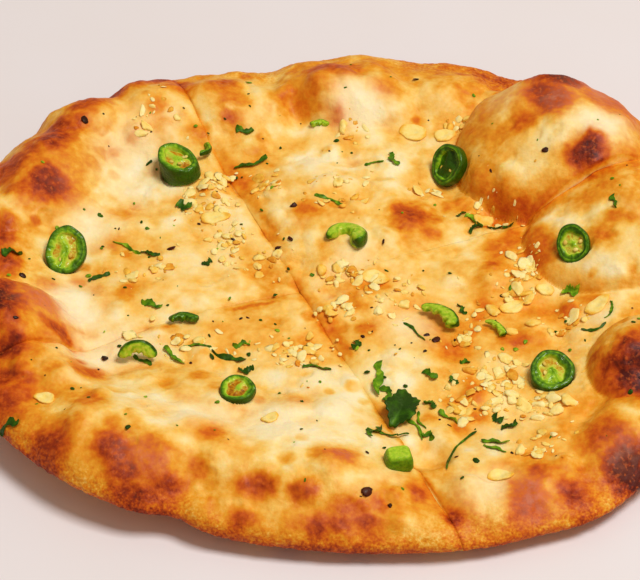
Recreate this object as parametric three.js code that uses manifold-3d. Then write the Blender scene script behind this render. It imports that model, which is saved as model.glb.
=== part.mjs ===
// A naan bread cut crosswise into four slices that still lie together in the bread's round
// shape, topped with green chilli slices, garlic and coriander. Millimetres, +Z up, longest
// side along X. Plan positions count from the point where the two cuts cross.
import * as THREE from 'three';
import Module from 'manifold-3d';

const wasm = await Module();
wasm.setup();

const degree = Math.PI / 180;

// The bread all round, at equal steps of angle from +X: how far the rim reaches, how high
// the puffed rim stands, and how far the rim's underside curls up off the table.
const rimReach = [145, 147, 151, 149, 145, 137, 129.5, 125, 130, 132, 129.5, 129,
  127, 126, 125, 124, 122, 119, 120.5, 126.5, 136, 146, 147, 147];
const rimHeight = [20, 21, 20, 15, 17, 18, 20, 20, 19, 19, 20, 20, 20, 20, 17.5, 13.5, 14, 18];
const rimCurl = [6, 7, 7, 5, 5, 5, 6, 6, 6, 8, 9, 9, 8, 3, 2, 2, 3, 5];
const middleHeight = 9.5;
const rimStart = 0.6;
const rimFull = 0.88;
const restShare = 0.66;
const edgeAboveCurl = 4.5;
const waveHeight = 0.32;

// Folds that part the rim's lobes: angle, pull of the outline inwards, dip of the crest and
// width in degrees.
const rimFolds = [
  { at: 57, inward: 2, dip: 3, width: 3.5 },
  { at: 70, inward: 1.5, dip: 1.5, width: 3.5 },
  { at: 96, inward: 2.5, dip: 2.5, width: 3.5 },
  { at: 126, inward: 3, dip: 3, width: 3.5 },
  { at: 141, inward: 2, dip: 2, width: 3 },
  { at: 160, inward: 2, dip: 2, width: 4 },
  { at: 182, inward: 2, dip: 2, width: 4 },
  { at: 205, inward: 1.5, dip: 2, width: 4 },
  { at: 222, inward: 0.5, dip: 1, width: 4 },
  { at: 250, inward: 3, dip: 2.5, width: 4 },
  { at: 304, inward: 0.5, dip: 2, width: 3.5 },
  { at: 318, inward: 0.8, dip: 3, width: 4 },
  { at: 334, inward: 2, dip: 4, width: 3.5 },
  { at: 350, inward: 2, dip: 4, width: 4 },
];

// The four arms of the cuts, in order of angle: gap between the slices and how far the cut
// edges have sunk.
const cuts = [
  { angle: 23, gap: 0.5, sunk: 0.4 },
  { angle: 113.5, gap: 0.8, sunk: 1.2 },
  { angle: 204, gap: 0.8, sunk: 1.0 },
  { angle: 293.5, gap: 0.8, sunk: 1.2 },
];
const cutEdgeWidth = 1.3;
const leftCutBow = 9;

// Bubbles that swell each slice: middle, half length, half width, turn of the long side in
// degrees, rise, and how sharply the side meets the bread (smaller is steeper).
const swelling = {
  slice_back_right: [
    { at: [95, 70], long: 39, wide: 36, turn: 23, rise: 22, soft: 0.5 },
    { at: [20, 34], long: 48, wide: 31, turn: -38, rise: 6.5, soft: 0.8 },
    { at: [41, 31], long: 13, wide: 10, turn: 0, rise: 2.4, soft: 1.3 },
    { at: [1, 39], long: 9, wide: 8, turn: 0, rise: 1.6, soft: 1.3 },
    { at: [-26, 98], long: 26, wide: 17, turn: -5, rise: 5, soft: 0.9 },
    { at: [20, 104], long: 27, wide: 17, turn: -3, rise: 9, soft: 0.9 },
    { at: [18, 91], long: 8, wide: 7, turn: 0, rise: 2.2, soft: 1 },
    { at: [56, 107], long: 28, wide: 16, turn: -15, rise: 5, soft: 0.9 },
  ],
  slice_back_left: [
    { at: [-101, 53], long: 38, wide: 25, turn: 55, rise: 9, soft: 0.8 },
    { at: [-83, 84], long: 21, wide: 14, turn: 35, rise: 7, soft: 0.9 },
    { at: [-60, 98], long: 23, wide: 16, turn: 15, rise: 6, soft: 0.9 },
    { at: [-46, 76], long: 26, wide: 34, turn: 20, rise: 5, soft: 1.2 },
    { at: [-105, -25], long: 32, wide: 22, turn: -5, rise: 13, soft: 0.7 },
    { at: [-52, -3], long: 24, wide: 13, turn: 5, rise: 3, soft: 1.5 },
  ],
  slice_front_left: [
    { at: [-84, -48], long: 30, wide: 17, turn: -25, rise: 6, soft: 0.9 },
    { at: [-98, -68], long: 26, wide: 20, turn: -40, rise: 5, soft: 1 },
    { at: [-46, -74], long: 50, wide: 35, turn: 8, rise: 9, soft: 0.9 },
    { at: [2, -82], long: 42, wide: 32, turn: -12, rise: 8, soft: 0.9 },
    { at: [13.5, -92], long: 9, wide: 8, turn: 0, rise: 2.2, soft: 1.2 },
    { at: [36.5, -100], long: 9, wide: 7, turn: 0, rise: 2.4, soft: 1.2 },
  ],
  slice_front_right: [
    { at: [57, -104], long: 12, wide: 12, turn: 0, rise: 3, soft: 1 },
    { at: [80, -104], long: 27, wide: 19, turn: 35, rise: 6, soft: 1 },
    { at: [113, -80], long: 31, wide: 23, turn: 55, rise: 9, soft: 0.9 },
    { at: [119, -45], long: 22, wide: 23, turn: 0, rise: 13, soft: 0.65 },
    { at: [116, 25], long: 37, wide: 33, turn: 20, rise: 13.5, soft: 0.5 },
    { at: [68, 6], long: 26, wide: 17, turn: -15, rise: 3.5, soft: 1.4 },
    { at: [74, -28], long: 8, wide: 6, turn: 0, rise: 1.4, soft: 1.5 },
    { at: [24, -23], long: 9, wide: 7, turn: 0, rise: 1.2, soft: 1.5 },
  ],
};
const swellBlend = 1.5;

// Hollows between the bubbles.
const hollows = [
  { at: [42, -83], long: 11, wide: 9, turn: 0, depth: 4 },
  { at: [53, 56], long: 13, wide: 8, turn: -38, depth: 2.5 },
  { at: [69, 37], long: 9, wide: 7, turn: 0, depth: 3 },
  { at: [-1, 96], long: 9, wide: 14, turn: 0, depth: 3 },
  { at: [66, -66], long: 26, wide: 18, turn: 20, depth: 1.5 },
];

// Whole chilli rings: lean is the tilt of the cut face, towards the given direction, and
// raise is how high the ring's middle lies over the bread.
const chilliRings = {
  chilli_thick_slice: { at: [-44.5, 60], radius: 7.2, thick: 9, lean: 12, toward: 150, raise: 3.2 },
  chilli_ring_left: { at: [-83, 15], radius: 8.6, thick: 3.4, lean: 38, toward: 275, raise: 3.6 },
  chilli_ring_shaded: { at: [54.5, 62.5], radius: 7.8, thick: 4, lean: 54, toward: 215, raise: 5 },
  chilli_ring_slope: { at: [96, 10.5], radius: 6.6, thick: 3, lean: 42, toward: 240, raise: 1.2 },
  chilli_ring_right: { at: [85.5, -44.5], radius: 7.8, thick: 3.6, lean: 16, toward: 275, raise: 1.4 },
  chilli_ring_front: { at: [-20.5, -58], radius: 6, thick: 3.2, lean: 6, toward: 265, raise: 1.1 },
};

// Curved pieces of chilli wall: bend is the radius of the curve and sweep its angle, and
// spin turns the piece about its own axis.
const chilliStrips = {
  chilli_hook: { at: [16.5, 20.5], bend: 7.6, wall: 3.4, thick: 4.2, sweep: 245, spin: -60,
    lean: 12, toward: 85, raise: 1.7 },
  chilli_half_ring: { at: [-55, -38], bend: 7.2, wall: 3.2, thick: 3.4, sweep: 165, spin: 8,
    lean: 62, toward: 268, raise: 1.6 },
  chilli_thin_slice: { at: [-39.5, 73], bend: 6.6, wall: 2, thick: 3, sweep: 115, spin: -70,
    lean: 20, toward: 60, raise: 1.1 },
  chilli_strip_middle: { at: [44, -23], bend: 11.5, wall: 4.8, thick: 3.8, sweep: 100, spin: 0,
    lean: 14, toward: 210, raise: 1.2 },
  chilli_strip_small: { at: [64, -26], bend: 7.5, wall: 2.6, thick: 2.6, sweep: 88, spin: 2,
    lean: 10, toward: 230, raise: 0.9 },
  chilli_dark_strip: { at: [-40, -24], bend: 8.5, wall: 3, thick: 3.2, sweep: 84, spin: 48,
    lean: 8, toward: 260, raise: 1 },
  chilli_back_strip: { at: [7, 85.5], bend: 6.4, wall: 2.4, thick: 2.6, sweep: 80, spin: 50,
    lean: 8, toward: 260, raise: 0.9 },
};

// The blunt chilli end by the front cut.
const chilliEnd = { at: [32.5, -91], length: 9.4, width: 7.6, height: 7.4, turn: 12, raise: 1.9 };

// The folded coriander leaf.
const leaf = { at: [34.5, -62], long: 7.6, wide: 5.4, turn: 62, thick: 0.7, lobes: 5,
  lobeDepth: 0.16, wave: 0.9, raise: 2.2 };

const seatGap = 0.36;

// Garlic scattered in heaps: middle, half spread, number of pieces and their sizes.
const garlicHeaps = [
  { at: [-34, 46], spread: [8, 9], count: 6, size: [3, 5] },
  { at: [-30, 59], spread: [5, 4], count: 2, size: [3, 5] },
  { at: [-26, 25], spread: [8, 6], count: 4, size: [2.5, 4] },
  { at: [-13, 54], spread: [6, 6], count: 3, size: [3, 5] },
  { at: [0, -32], spread: [11, 8], count: 6, size: [2.5, 4.5] },
  { at: [16, 7], spread: [9, 6], count: 4, size: [2.5, 4.5] },
  { at: [60, 88], spread: [4, 4], count: 2, size: [3, 5] },
  { at: [50, 54], spread: [6, 5], count: 2, size: [3, 4.5] },
  { at: [71, 39], spread: [8, 7], count: 5, size: [3, 5.5] },
  { at: [80, 9], spread: [5, 8], count: 5, size: [3, 5] },
  { at: [90, -18], spread: [9, 6], count: 3, size: [3, 6] },
  { at: [67, -48], spread: [11, 12], count: 10, size: [3, 6] },
  { at: [82, -59], spread: [8, 8], count: 5, size: [3, 6] },
  { at: [56, -57], spread: [7, 7], count: 3, size: [2.5, 4.5] },
  { at: [18, 90], spread: [6, 7], count: 4, size: [3, 5] },
  { at: [-34, -26], spread: [16, 8], count: 4, size: [2.5, 4] },
  { at: [-18, 14], spread: [10, 7], count: 3, size: [2.5, 4] },
  { at: [-53, 8], spread: [11, 7], count: 3, size: [2.5, 4] },
  { at: [-56, 84], spread: [12, 8], count: 2, size: [2.5, 4] },
  { at: [59, -21], spread: [11, 9], count: 5, size: [2.5, 5] },
  { at: [35, -6], spread: [12, 13], count: 5, size: [2.5, 4.5] },
  { at: [79, -82], spread: [8, 6], count: 3, size: [2.5, 5] },
  { at: [11, -12], spread: [7, 8], count: 3, size: [2.5, 4] },
  { at: [77, -2], spread: [6, 6], count: 3, size: [3, 5] },
  { at: [14, 48], spread: [12, 10], count: 3, size: [2.5, 4] },
];
const garlicHeight = 0.42;

// Flat slices of garlic clove.
const garlicSlices = [
  { at: [-31, 37], size: 10, turn: 10 },
  { at: [26.5, 4.5], size: 9.5, turn: -5 },
  { at: [42, 85.5], size: 11, turn: -12 },
  { at: [53.5, 83], size: 9, turn: 8 },
  { at: [87.5, 0.5], size: 8, turn: -30 },
  { at: [74, -9.5], size: 9, turn: 20 },
  { at: [103, -14], size: 9.5, turn: 40 },
  { at: [65.5, -94], size: 8, turn: 0 },
  { at: [-84, -66], size: 7.5, turn: -10 },
  { at: [-9.5, -71.5], size: 6.5, turn: 30 },
];
const garlicSliceHeight = 0.9;

// Shreds of coriander: middle, direction, length, width and sideways bend.
const shreds = [
  { at: [-101.5, 10.5], turn: 8, length: 7.6, width: 3, bend: 0 },
  { at: [-53.5, 18], turn: -11, length: 7.3, width: 2, bend: 0 },
  { at: [-42.5, 43], turn: -28, length: 6, width: 3, bend: 0 },
  { at: [-21, 84], turn: 2, length: 7, width: 2.2, bend: 0 },
  { at: [-18.5, 69.5], turn: 30, length: 14.3, width: 2.2, bend: -1.5 },
  { at: [-51.5, -9], turn: -22, length: 8, width: 2, bend: -1 },
  { at: [-42.5, -34.5], turn: -48, length: 11, width: 2, bend: -1.5 },
  { at: [-24, -34], turn: -11, length: 12.3, width: 2.3, bend: -1.5 },
  { at: [-20, -28.5], turn: 9, length: 6.2, width: 2, bend: 0 },
  { at: [-18, -41.5], turn: 6, length: 5.5, width: 2.4, bend: 0 },
  { at: [6, -41], turn: -9, length: 10, width: 2, bend: 1 },
  { at: [34, 69], turn: -75, length: 9, width: 2.2, bend: 0 },
  { at: [63, 31.5], turn: 34, length: 6.5, width: 2, bend: 0 },
  { at: [94.5, -4], turn: -16, length: 6.2, width: 2.5, bend: 0 },
  { at: [56.5, -11], turn: -67, length: 5.6, width: 1.9, bend: 0 },
  { at: [44, -58.5], turn: -41, length: 5, width: 2.5, bend: 0 },
  { at: [49.5, -64.5], turn: -39, length: 8, width: 1.9, bend: 0.5 },
  { at: [43, -73.5], turn: -31, length: 4.8, width: 2.4, bend: 0 },
  { at: [66, -65], turn: -48, length: 4.4, width: 2.2, bend: 0 },
  { at: [70, -69], turn: 36, length: 6.8, width: 2.4, bend: 0 },
  { at: [65, -76], turn: -14, length: 9.7, width: 2, bend: -1 },
  { at: [44, -46], turn: -28, length: 6.1, width: 2.2, bend: 0.5 },
  { at: [52, -47.5], turn: -66, length: 4.6, width: 2, bend: 0 },
  { at: [27.5, -46.5], turn: -94, length: 17, width: 2.6, bend: -1 },
  { at: [25, -75.5], turn: 45, length: 7, width: 3.4, bend: 0 },
  { at: [19.5, -29.5], turn: 64, length: 4.8, width: 2.4, bend: 0 },
];
const shredHeight = 0.9;

// Charred flecks.
const flecks = [
  { at: [-46, 20.5], size: 2.9 },
  { at: [-24, 26], size: 2.2 },
  { at: [-36.5, 34], size: 2.2 },
  { at: [47, -27], size: 2.4 },
  { at: [53.5, -27], size: 2.2 },
  { at: [22, -106.5], size: 3.2 },
  { at: [-66.5, -35.5], size: 2.8 },
  { at: [-97, 0], size: 2.2 },
  { at: [29.5, 20], size: 2.2 },
];
const fleckHeight = 0.5;

const rootDepth = 1.4;
const clearOfCut = 1.1;
const clearOfChilli = 0.9;

// Fineness of the slices: rings from the cuts' crossing out, and columns across the angle
// for rings that end within each share of the reach.
const topRings = 16;
const undersideShares = [0.22, 0.45, restShare, 0.79, 0.89, 0.96, 1];
const fineness = [
  { within: 0.38, columns: 8 },
  { within: 0.56, columns: 14 },
  { within: 1, columns: 27 },
];
const cutColumnShare = 0.018;

// Steps of a smooth run through equally spaced values round the bread.
function around(values, angle) {
  const count = values.length;
  const place = (((angle % 360) + 360) % 360) / 360 * count;
  const first = Math.floor(place);
  const t = place - first;
  const [a, b, c, d] = [-1, 0, 1, 2].map((step) => values[(first + step + count) % count]);
  const square = (2 * a - 5 * b + 4 * c - d) * t * t;
  const cube = (3 * b - a - 3 * c + d) * t * t * t;
  return 0.5 * (2 * b + (c - a) * t + square + cube);
}

function turnFrom(angle, at) {
  return ((((angle - at + 180) % 360) + 360) % 360) - 180;
}

function ramp(low, high, value) {
  const t = Math.min(1, Math.max(0, (value - low) / (high - low)));
  return t * t * (3 - 2 * t);
}

function foldSum(angle, key) {
  let sum = 0;
  for (const fold of rimFolds) {
    sum += fold[key] * Math.exp(-((turnFrom(angle, fold.at) / fold.width) ** 2));
  }
  return sum;
}

function reach(angle) {
  return around(rimReach, angle) - foldSum(angle, 'inward');
}

// A dome of height 1 over an ellipse, 0 outside it.
function dome(x, y, spot, power) {
  const c = Math.cos(spot.turn * degree);
  const s = Math.sin(spot.turn * degree);
  const dx = x - spot.at[0];
  const dy = y - spot.at[1];
  const u = (dx * c + dy * s) / spot.long;
  const v = (dy * c - dx * s) / spot.wide;
  return Math.max(0, 1 - u * u - v * v) ** power;
}

// The larger of two heights, with a small fillet where they meet.
function blendMax(a, b, width) {
  const t = Math.min(1, Math.max(0, 0.5 + 0.5 * (a - b) / width));
  return b * (1 - t) + a * t + width * t * (1 - t);
}

function waves(x, y) {
  const along = Math.sin(x / 11 + y / 19);
  const across = Math.sin(y / 9 - x / 27 + 1.3);
  const slanted = Math.sin((x + y) / 7.3 + 0.4);
  return waveHeight * (along + across + 0.8 * slanted);
}

// Height of the upper crust before the edge is rounded.
function crustHeight(x, y, sliceName) {
  const angle = Math.atan2(y, x) / degree;
  const share = Math.hypot(x, y) / reach(angle);
  const rim = around(rimHeight, angle) - middleHeight;
  let rise = 0;
  for (const bubble of swelling[sliceName]) {
    rise = blendMax(rise, bubble.rise * dome(x, y, bubble, bubble.soft) - 0.6, swellBlend);
  }
  for (const hollow of hollows) {
    rise -= hollow.depth * dome(x, y, hollow, 1.5);
  }
  const folds = foldSum(angle, 'dip') * ramp(0.7, 0.95, share);
  return middleHeight + rim * ramp(rimStart, rimFull, share) + rise + waves(x, y) - folds;
}

function edgeHeight(angle) {
  return around(rimCurl, angle) + edgeAboveCurl;
}

function topHeight(x, y, share, angle, sliceName) {
  const edge = edgeHeight(angle);
  return edge + (crustHeight(x, y, sliceName) - edge) * Math.sqrt(1 - share ** 9);
}

// The underside lies flat on the table out to the rest share and curls up beyond it.
function undersideHeight(share, angle) {
  if (share <= restShare) {
    return 0;
  }
  const edge = edgeHeight(angle);
  const lifted = around(rimCurl, angle) * ramp(restShare, 1, share) ** 1.2;
  return edge - (edge - lifted) * Math.sqrt(1 - share ** 16);
}

// Top of the bread at a place in plan, well inside the rim.
function surfaceAt(x, y, sliceName) {
  const angle = Math.atan2(y, x) / degree;
  return topHeight(x, y, Math.min(1, Math.hypot(x, y) / reach(angle)), angle, sliceName);
}

// The inner corner of a slice: where the lines beside its two cuts meet.
function innerCorner(start, end) {
  const a = start.angle * degree;
  const b = end.angle * degree;
  const spread = Math.sin(b - a);
  const x = (Math.cos(b) * start.gap + Math.cos(a) * end.gap) / 2 / spread;
  const y = (Math.sin(b) * start.gap + Math.sin(a) * end.gap) / 2 / spread;
  return [x, y];
}

// The left cut leaves the crossing nearly level and bends towards the front.
function bowTurn(share, angle) {
  const nearLeftCut = Math.max(0, Math.cos(turnFrom(angle, cuts[2].angle) * degree)) ** 2;
  return -leftCutBow * (1 - share) ** 2 * ramp(0, 0.12, share) * nearLeftCut * degree;
}

function sliceCuts(index) {
  const start = cuts[index];
  const next = cuts[(index + 1) % cuts.length];
  const end = index === cuts.length - 1 ? { ...next, angle: next.angle + 360 } : next;
  return [start, end];
}

// Joins two lines of points with triangles, stepping on along whichever line lags behind.
// The faces look to the left of the way from the first line to the second.
function stitch(first, second, faces) {
  let i = 0;
  let k = 0;
  while (i < first.length - 1 || k < second.length - 1) {
    const firstNext = i < first.length - 1 ? first[i + 1].step : Infinity;
    const secondNext = k < second.length - 1 ? second[k + 1].step : Infinity;
    const onFirst = firstNext <= secondNext;
    const ahead = onFirst ? first[i + 1].index : second[k + 1].index;
    const face = [first[i].index, ahead, second[k].index];
    if (new Set(face).size === 3) {
      faces.push(face);
    }
    if (onFirst) {
      i += 1;
    } else {
      k += 1;
    }
  }
}

// One slice as a closed mesh: rings of points under and over, joined at the rim, with the
// two cut faces between them.
function sliceMesh(sliceName, index) {
  const [start, end] = sliceCuts(index);
  const corner = innerCorner(start, end);
  const startTurn = Math.asin(start.gap / 2 / reach(start.angle)) / degree;
  const endTurn = Math.asin(end.gap / 2 / reach(end.angle)) / degree;
  const from = start.angle + startTurn;
  const to = end.angle - endTurn;
  const points = [];
  const faces = [];

  function placeAt(share, angle) {
    const radius = reach(angle);
    const x = corner[0] + (radius * Math.cos(angle * degree) - corner[0]) * share;
    const y = corner[1] + (radius * Math.sin(angle * degree) - corner[1]) * share;
    const turn = bowTurn(share, angle);
    return [x * Math.cos(turn) - y * Math.sin(turn), x * Math.sin(turn) + y * Math.cos(turn)];
  }

  function sunkEdge(share, angle) {
    const radius = reach(angle) * share;
    const toStart = radius * Math.sin((angle - start.angle) * degree);
    const toEnd = radius * Math.sin((end.angle - angle) * degree);
    return start.sunk * Math.exp(-toStart / cutEdgeWidth) + end.sunk * Math.exp(-toEnd / cutEdgeWidth);
  }

  function addPoint(share, angle, above) {
    const [x, y] = placeAt(share, angle);
    const fade = Math.sqrt(1 - share ** 9);
    const z = above
      ? topHeight(x, y, share, angle, sliceName) - sunkEdge(share, angle) * fade
      : undersideHeight(share, angle);
    points.push([x, y, z]);
    return points.length - 1;
  }

  function addRing(share, above) {
    const { columns } = fineness.find((row) => share <= row.within);
    const ring = [];
    for (let column = 0; column <= columns; column += 1) {
      const even = cutColumnShare + (1 - 2 * cutColumnShare) * (column - 1) / (columns - 2);
      const step = column === 0 ? 0 : column === columns ? 1 : even;
      ring.push({ step, index: addPoint(share, from + (to - from) * step, above) });
    }
    return ring;
  }

  const middleAngle = (from + to) / 2;
  const topShares = [];
  for (let ring = 1; ring <= topRings; ring += 1) {
    topShares.push(Math.sin(Math.PI / 2 * ring / topRings));
  }
  const topCorner = [{ step: 0, index: addPoint(0, middleAngle, true) }];
  const lowCorner = [{ step: 0, index: addPoint(0, middleAngle, false) }];
  const top = [topCorner, ...topShares.map((share) => addRing(share, true))];
  const inner = undersideShares.slice(0, -1).map((share) => addRing(share, false));
  const low = [lowCorner, ...inner, top[top.length - 1]];

  for (let ring = 1; ring < top.length; ring += 1) {
    stitch(top[ring], top[ring - 1], faces);
  }
  for (let ring = 1; ring < low.length; ring += 1) {
    stitch(low[ring - 1], low[ring], faces);
  }
  const edgeLine = (rings, shares, end) => rings.map((ring, number) => (
    { step: number === 0 ? 0 : shares[number - 1], index: ring[end ? ring.length - 1 : 0].index }));
  const topStart = edgeLine(top, topShares, false);
  const lowStart = edgeLine(low, undersideShares, false);
  const topEnd = edgeLine(top, topShares, true);
  const lowEnd = edgeLine(low, undersideShares, true);
  stitch(lowStart, topStart, faces);
  stitch(topEnd, lowEnd, faces);
  return { points, faces };
}

// A closed mesh through rings of points, with a flat fan over each end.
function loft(rings) {
  const sides = rings[0].length;
  const points = rings.flat();
  const faces = [];
  for (let ring = 0; ring < rings.length - 1; ring += 1) {
    for (let side = 0; side < sides; side += 1) {
      const here = ring * sides + side;
      const next = ring * sides + (side + 1) % sides;
      faces.push([here, next, next + sides]);
      faces.push([here, next + sides, here + sides]);
    }
  }
  const last = (rings.length - 1) * sides;
  for (let side = 1; side < sides - 1; side += 1) {
    faces.push([0, side + 1, side]);
    faces.push([last, last + side, last + side + 1]);
  }
  return { points, faces };
}

function solidOf(mesh) {
  return new wasm.Manifold(new wasm.Mesh({
    numProp: 3,
    vertProperties: Float32Array.from(mesh.points.flat()),
    triVerts: Uint32Array.from(mesh.faces.flat()),
  }));
}

function geometryOf(solid) {
  const mesh = solid.getMesh();
  const geometry = new THREE.BufferGeometry();
  geometry.setAttribute('position', new THREE.BufferAttribute(mesh.vertProperties, 3));
  geometry.setIndex(new THREE.BufferAttribute(mesh.triVerts, 1));
  geometry.computeVertexNormals();
  return geometry;
}

// A slice of chilli across the pod: skin outside, a flat cut wall, the seed hollow inside.
function ringMesh({ radius, thick }, grow = 0) {
  const sides = 14;
  const half = thick / 2 + grow;
  const outer = radius + grow;
  const profile = [
    [outer * 0.9, -half],
    [outer, -half * 0.6],
    [outer, half * 0.6],
    [outer * 0.93, half],
  ];
  if (grow === 0) {
    profile.push([outer * 0.64, half], [outer * 0.56, half - Math.min(1.5, thick * 0.4)]);
  }
  return loft(profile.map(([r, z]) => roundOf(sides, r, z)));
}

function roundOf(sides, r, z) {
  const ring = [];
  for (let side = 0; side < sides; side += 1) {
    const angle = 2 * Math.PI * side / sides;
    const podWobble = 1 + 0.035 * Math.cos(3 * angle + 0.6);
    ring.push([r * podWobble * Math.cos(angle), r * podWobble * Math.sin(angle), z]);
  }
  return ring;
}

// Part of such a slice: the wall's section carried along an arc and narrowed at both ends.
function stripMesh({ bend, wall, thick, sweep, spin }, grow = 0) {
  const steps = 9;
  const rings = [];
  const extra = grow / bend / degree;
  for (let step = 0; step <= steps; step += 1) {
    const t = step / steps;
    const angle = (spin - extra + (sweep + 2 * extra) * t) * degree;
    const narrow = 1 - 0.45 * Math.abs(2 * t - 1) ** 4;
    const inner = bend - wall * narrow - grow;
    const outer = bend + grow;
    const half = thick / 2 * narrow + grow;
    const section = [[inner, -half], [inner + 0.3, half], [outer - 0.5, half],
      [outer, half * 0.3], [outer - 0.4, -half]];
    rings.push(section.map(([r, z]) => [r * Math.cos(angle), r * Math.sin(angle), z]));
  }
  return loft(rings);
}

// The blunt end of the pod: squarish, with a rounded crown.
function endMesh({ length, width, height }, grow = 0) {
  const sides = 12;
  const levels = [[0.82, 0], [1, 0.25], [0.98, 0.6], [0.8, 0.88], [0.42, 1]];
  return loft(levels.map(([share, level]) => {
    const ring = [];
    for (let side = 0; side < sides; side += 1) {
      const angle = 2 * Math.PI * side / sides;
      const square = 1 / (Math.abs(Math.cos(angle)) ** 4 + Math.abs(Math.sin(angle)) ** 4) ** 0.25;
      const x = (length / 2 * share + grow) * square * Math.cos(angle);
      const y = (width / 2 * share + grow) * square * Math.sin(angle);
      ring.push([x, y, (level - 0.5) * (height + 2 * grow)]);
    }
    return ring;
  }));
}

// A thin lobed leaf folded along its midrib and waved towards the margin.
function leafMesh({ long, wide, thick, lobes, lobeDepth, wave }, grow = 0) {
  const sides = 20;
  const rings = 3;
  const points = [[0, 0, thick / 2 + grow], [0, 0, -thick / 2 - grow]];
  const faces = [];
  for (const above of [1, -1]) {
    for (let ring = 1; ring <= rings; ring += 1) {
      for (let side = 0; side < sides; side += 1) {
        const angle = 2 * Math.PI * side / sides;
        const share = ring / rings;
        const lobe = 1 - lobeDepth * share * Math.cos(lobes * angle);
        const x = (long * lobe + grow) * share * Math.cos(angle);
        const y = (wide * lobe + grow) * share * Math.sin(angle);
        const middle = 0.16 * Math.abs(y) + wave * share * Math.sin(3 * angle + 0.7) * 0.6;
        points.push([x, y, middle + above * (thick / 2 * (1 - 0.3 * share) + grow)]);
      }
    }
  }
  const at = (layer, ring, side) => 2 + (layer * rings + ring) * sides + side % sides;
  for (const layer of [0, 1]) {
    const addFace = (a, b, c) => faces.push(layer === 0 ? [a, b, c] : [a, c, b]);
    for (let side = 0; side < sides; side += 1) {
      addFace(layer, at(layer, 0, side), at(layer, 0, side + 1));
      for (let ring = 0; ring < rings - 1; ring += 1) {
        addFace(at(layer, ring, side), at(layer, ring + 1, side), at(layer, ring + 1, side + 1));
        addFace(at(layer, ring, side), at(layer, ring + 1, side + 1), at(layer, ring, side + 1));
      }
    }
  }
  for (let side = 0; side < sides; side += 1) {
    faces.push([at(0, rings - 1, side), at(1, rings - 1, side), at(1, rings - 1, side + 1)]);
    faces.push([at(0, rings - 1, side), at(1, rings - 1, side + 1), at(0, rings - 1, side + 1)]);
  }
  return { points, faces };
}

// Which slice a place lies on, and how far the place is from the nearest cut.
function sliceAt(x, y) {
  const angle = Math.atan2(y, x) / degree;
  const share = Math.hypot(x, y) / reach(angle);
  const straight = angle - bowTurn(share, angle) / degree;
  let nearest = Infinity;
  let index = cuts.length - 1;
  cuts.forEach((cut, number) => {
    const away = turnFrom(straight, cut.angle);
    if (Math.abs(away) < 90) {
      nearest = Math.min(nearest, Math.hypot(x, y) * Math.abs(Math.sin(away * degree)));
    }
    if (away >= 0 && away < 180 && turnFrom(straight, sliceCuts(number)[1].angle) < 0) {
      index = number;
    }
  });
  return { index, nearest: Math.min(nearest, Math.hypot(x, y)) };
}

const sliceNames = ['slice_back_right', 'slice_back_left', 'slice_front_left', 'slice_front_right'];

// Even draws between 0 and 1 that come out the same every time.
function makeDraw(seed) {
  let state = seed;
  return () => {
    state = (Math.imul(state, 1664525) + 1013904223) >>> 0;
    return state / 4294967296;
  };
}

function chilliFootprints() {
  const prints = [];
  for (const ring of Object.values(chilliRings)) {
    prints.push({ at: ring.at, radius: ring.radius });
  }
  for (const strip of Object.values(chilliStrips)) {
    const middle = (strip.spin + strip.sweep / 2) * degree;
    const shift = strip.sweep < 200 ? strip.bend * 0.6 : 0;
    const at = [strip.at[0] + shift * Math.cos(middle), strip.at[1] + shift * Math.sin(middle)];
    prints.push({ at, radius: strip.sweep < 120 ? strip.bend * 0.75 : strip.bend });
  }
  prints.push({ at: chilliEnd.at, radius: chilliEnd.length * 0.62 });
  prints.push({ at: leaf.at, radius: leaf.long });
  return prints;
}

// Draws the garlic pieces heap by heap, clear of the cuts, the chilli and each other.
function scatterGarlic() {
  const draw = makeDraw(20);
  const prints = chilliFootprints();
  const placed = [];
  const triesEach = 14;
  for (const heap of garlicHeaps) {
    for (let piece = 0; piece < heap.count; piece += 1) {
      for (let attempt = 0; attempt < triesEach; attempt += 1) {
        const x = heap.at[0] + heap.spread[0] * (draw() + draw() - 1) * 1.3;
        const y = heap.at[1] + heap.spread[1] * (draw() + draw() - 1) * 1.3;
        const size = heap.size[0] + (heap.size[1] - heap.size[0]) * draw();
        const radius = size / 2;
        const near = (other, space) =>
          Math.hypot(x - other.at[0], y - other.at[1]) < radius + other.radius + space;
        const blocked = sliceAt(x, y).nearest < radius + clearOfCut
          || prints.some((print) => near(print, clearOfChilli))
          || placed.some((other) => near(other, -0.35 * radius));
        if (!blocked) {
          placed.push({ at: [x, y], radius });
          break;
        }
      }
    }
  }
  return placed;
}

// A lump rooted in the crust: a block with a smaller, uneven top.
function lumpSolid({ at, radius, height, sides, turn, flat }, sliceName, draw) {
  const z = surfaceAt(at[0], at[1], sliceName);
  const rings = [[], []];
  for (let side = 0; side < sides; side += 1) {
    const angle = turn * degree + 2 * Math.PI * (side + 0.3 * (draw() - 0.5)) / sides;
    const r = radius * (0.82 + 0.3 * draw());
    const top = r * (flat ? 0.86 : 0.6 + 0.15 * draw());
    rings[0].push([at[0] + r * Math.cos(angle), at[1] + r * Math.sin(angle), z - rootDepth]);
    rings[1].push([at[0] + top * Math.cos(angle), at[1] + top * Math.sin(angle),
      z + height * (0.8 + 0.35 * draw())]);
  }
  return solidOf(loft(rings));
}

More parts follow.
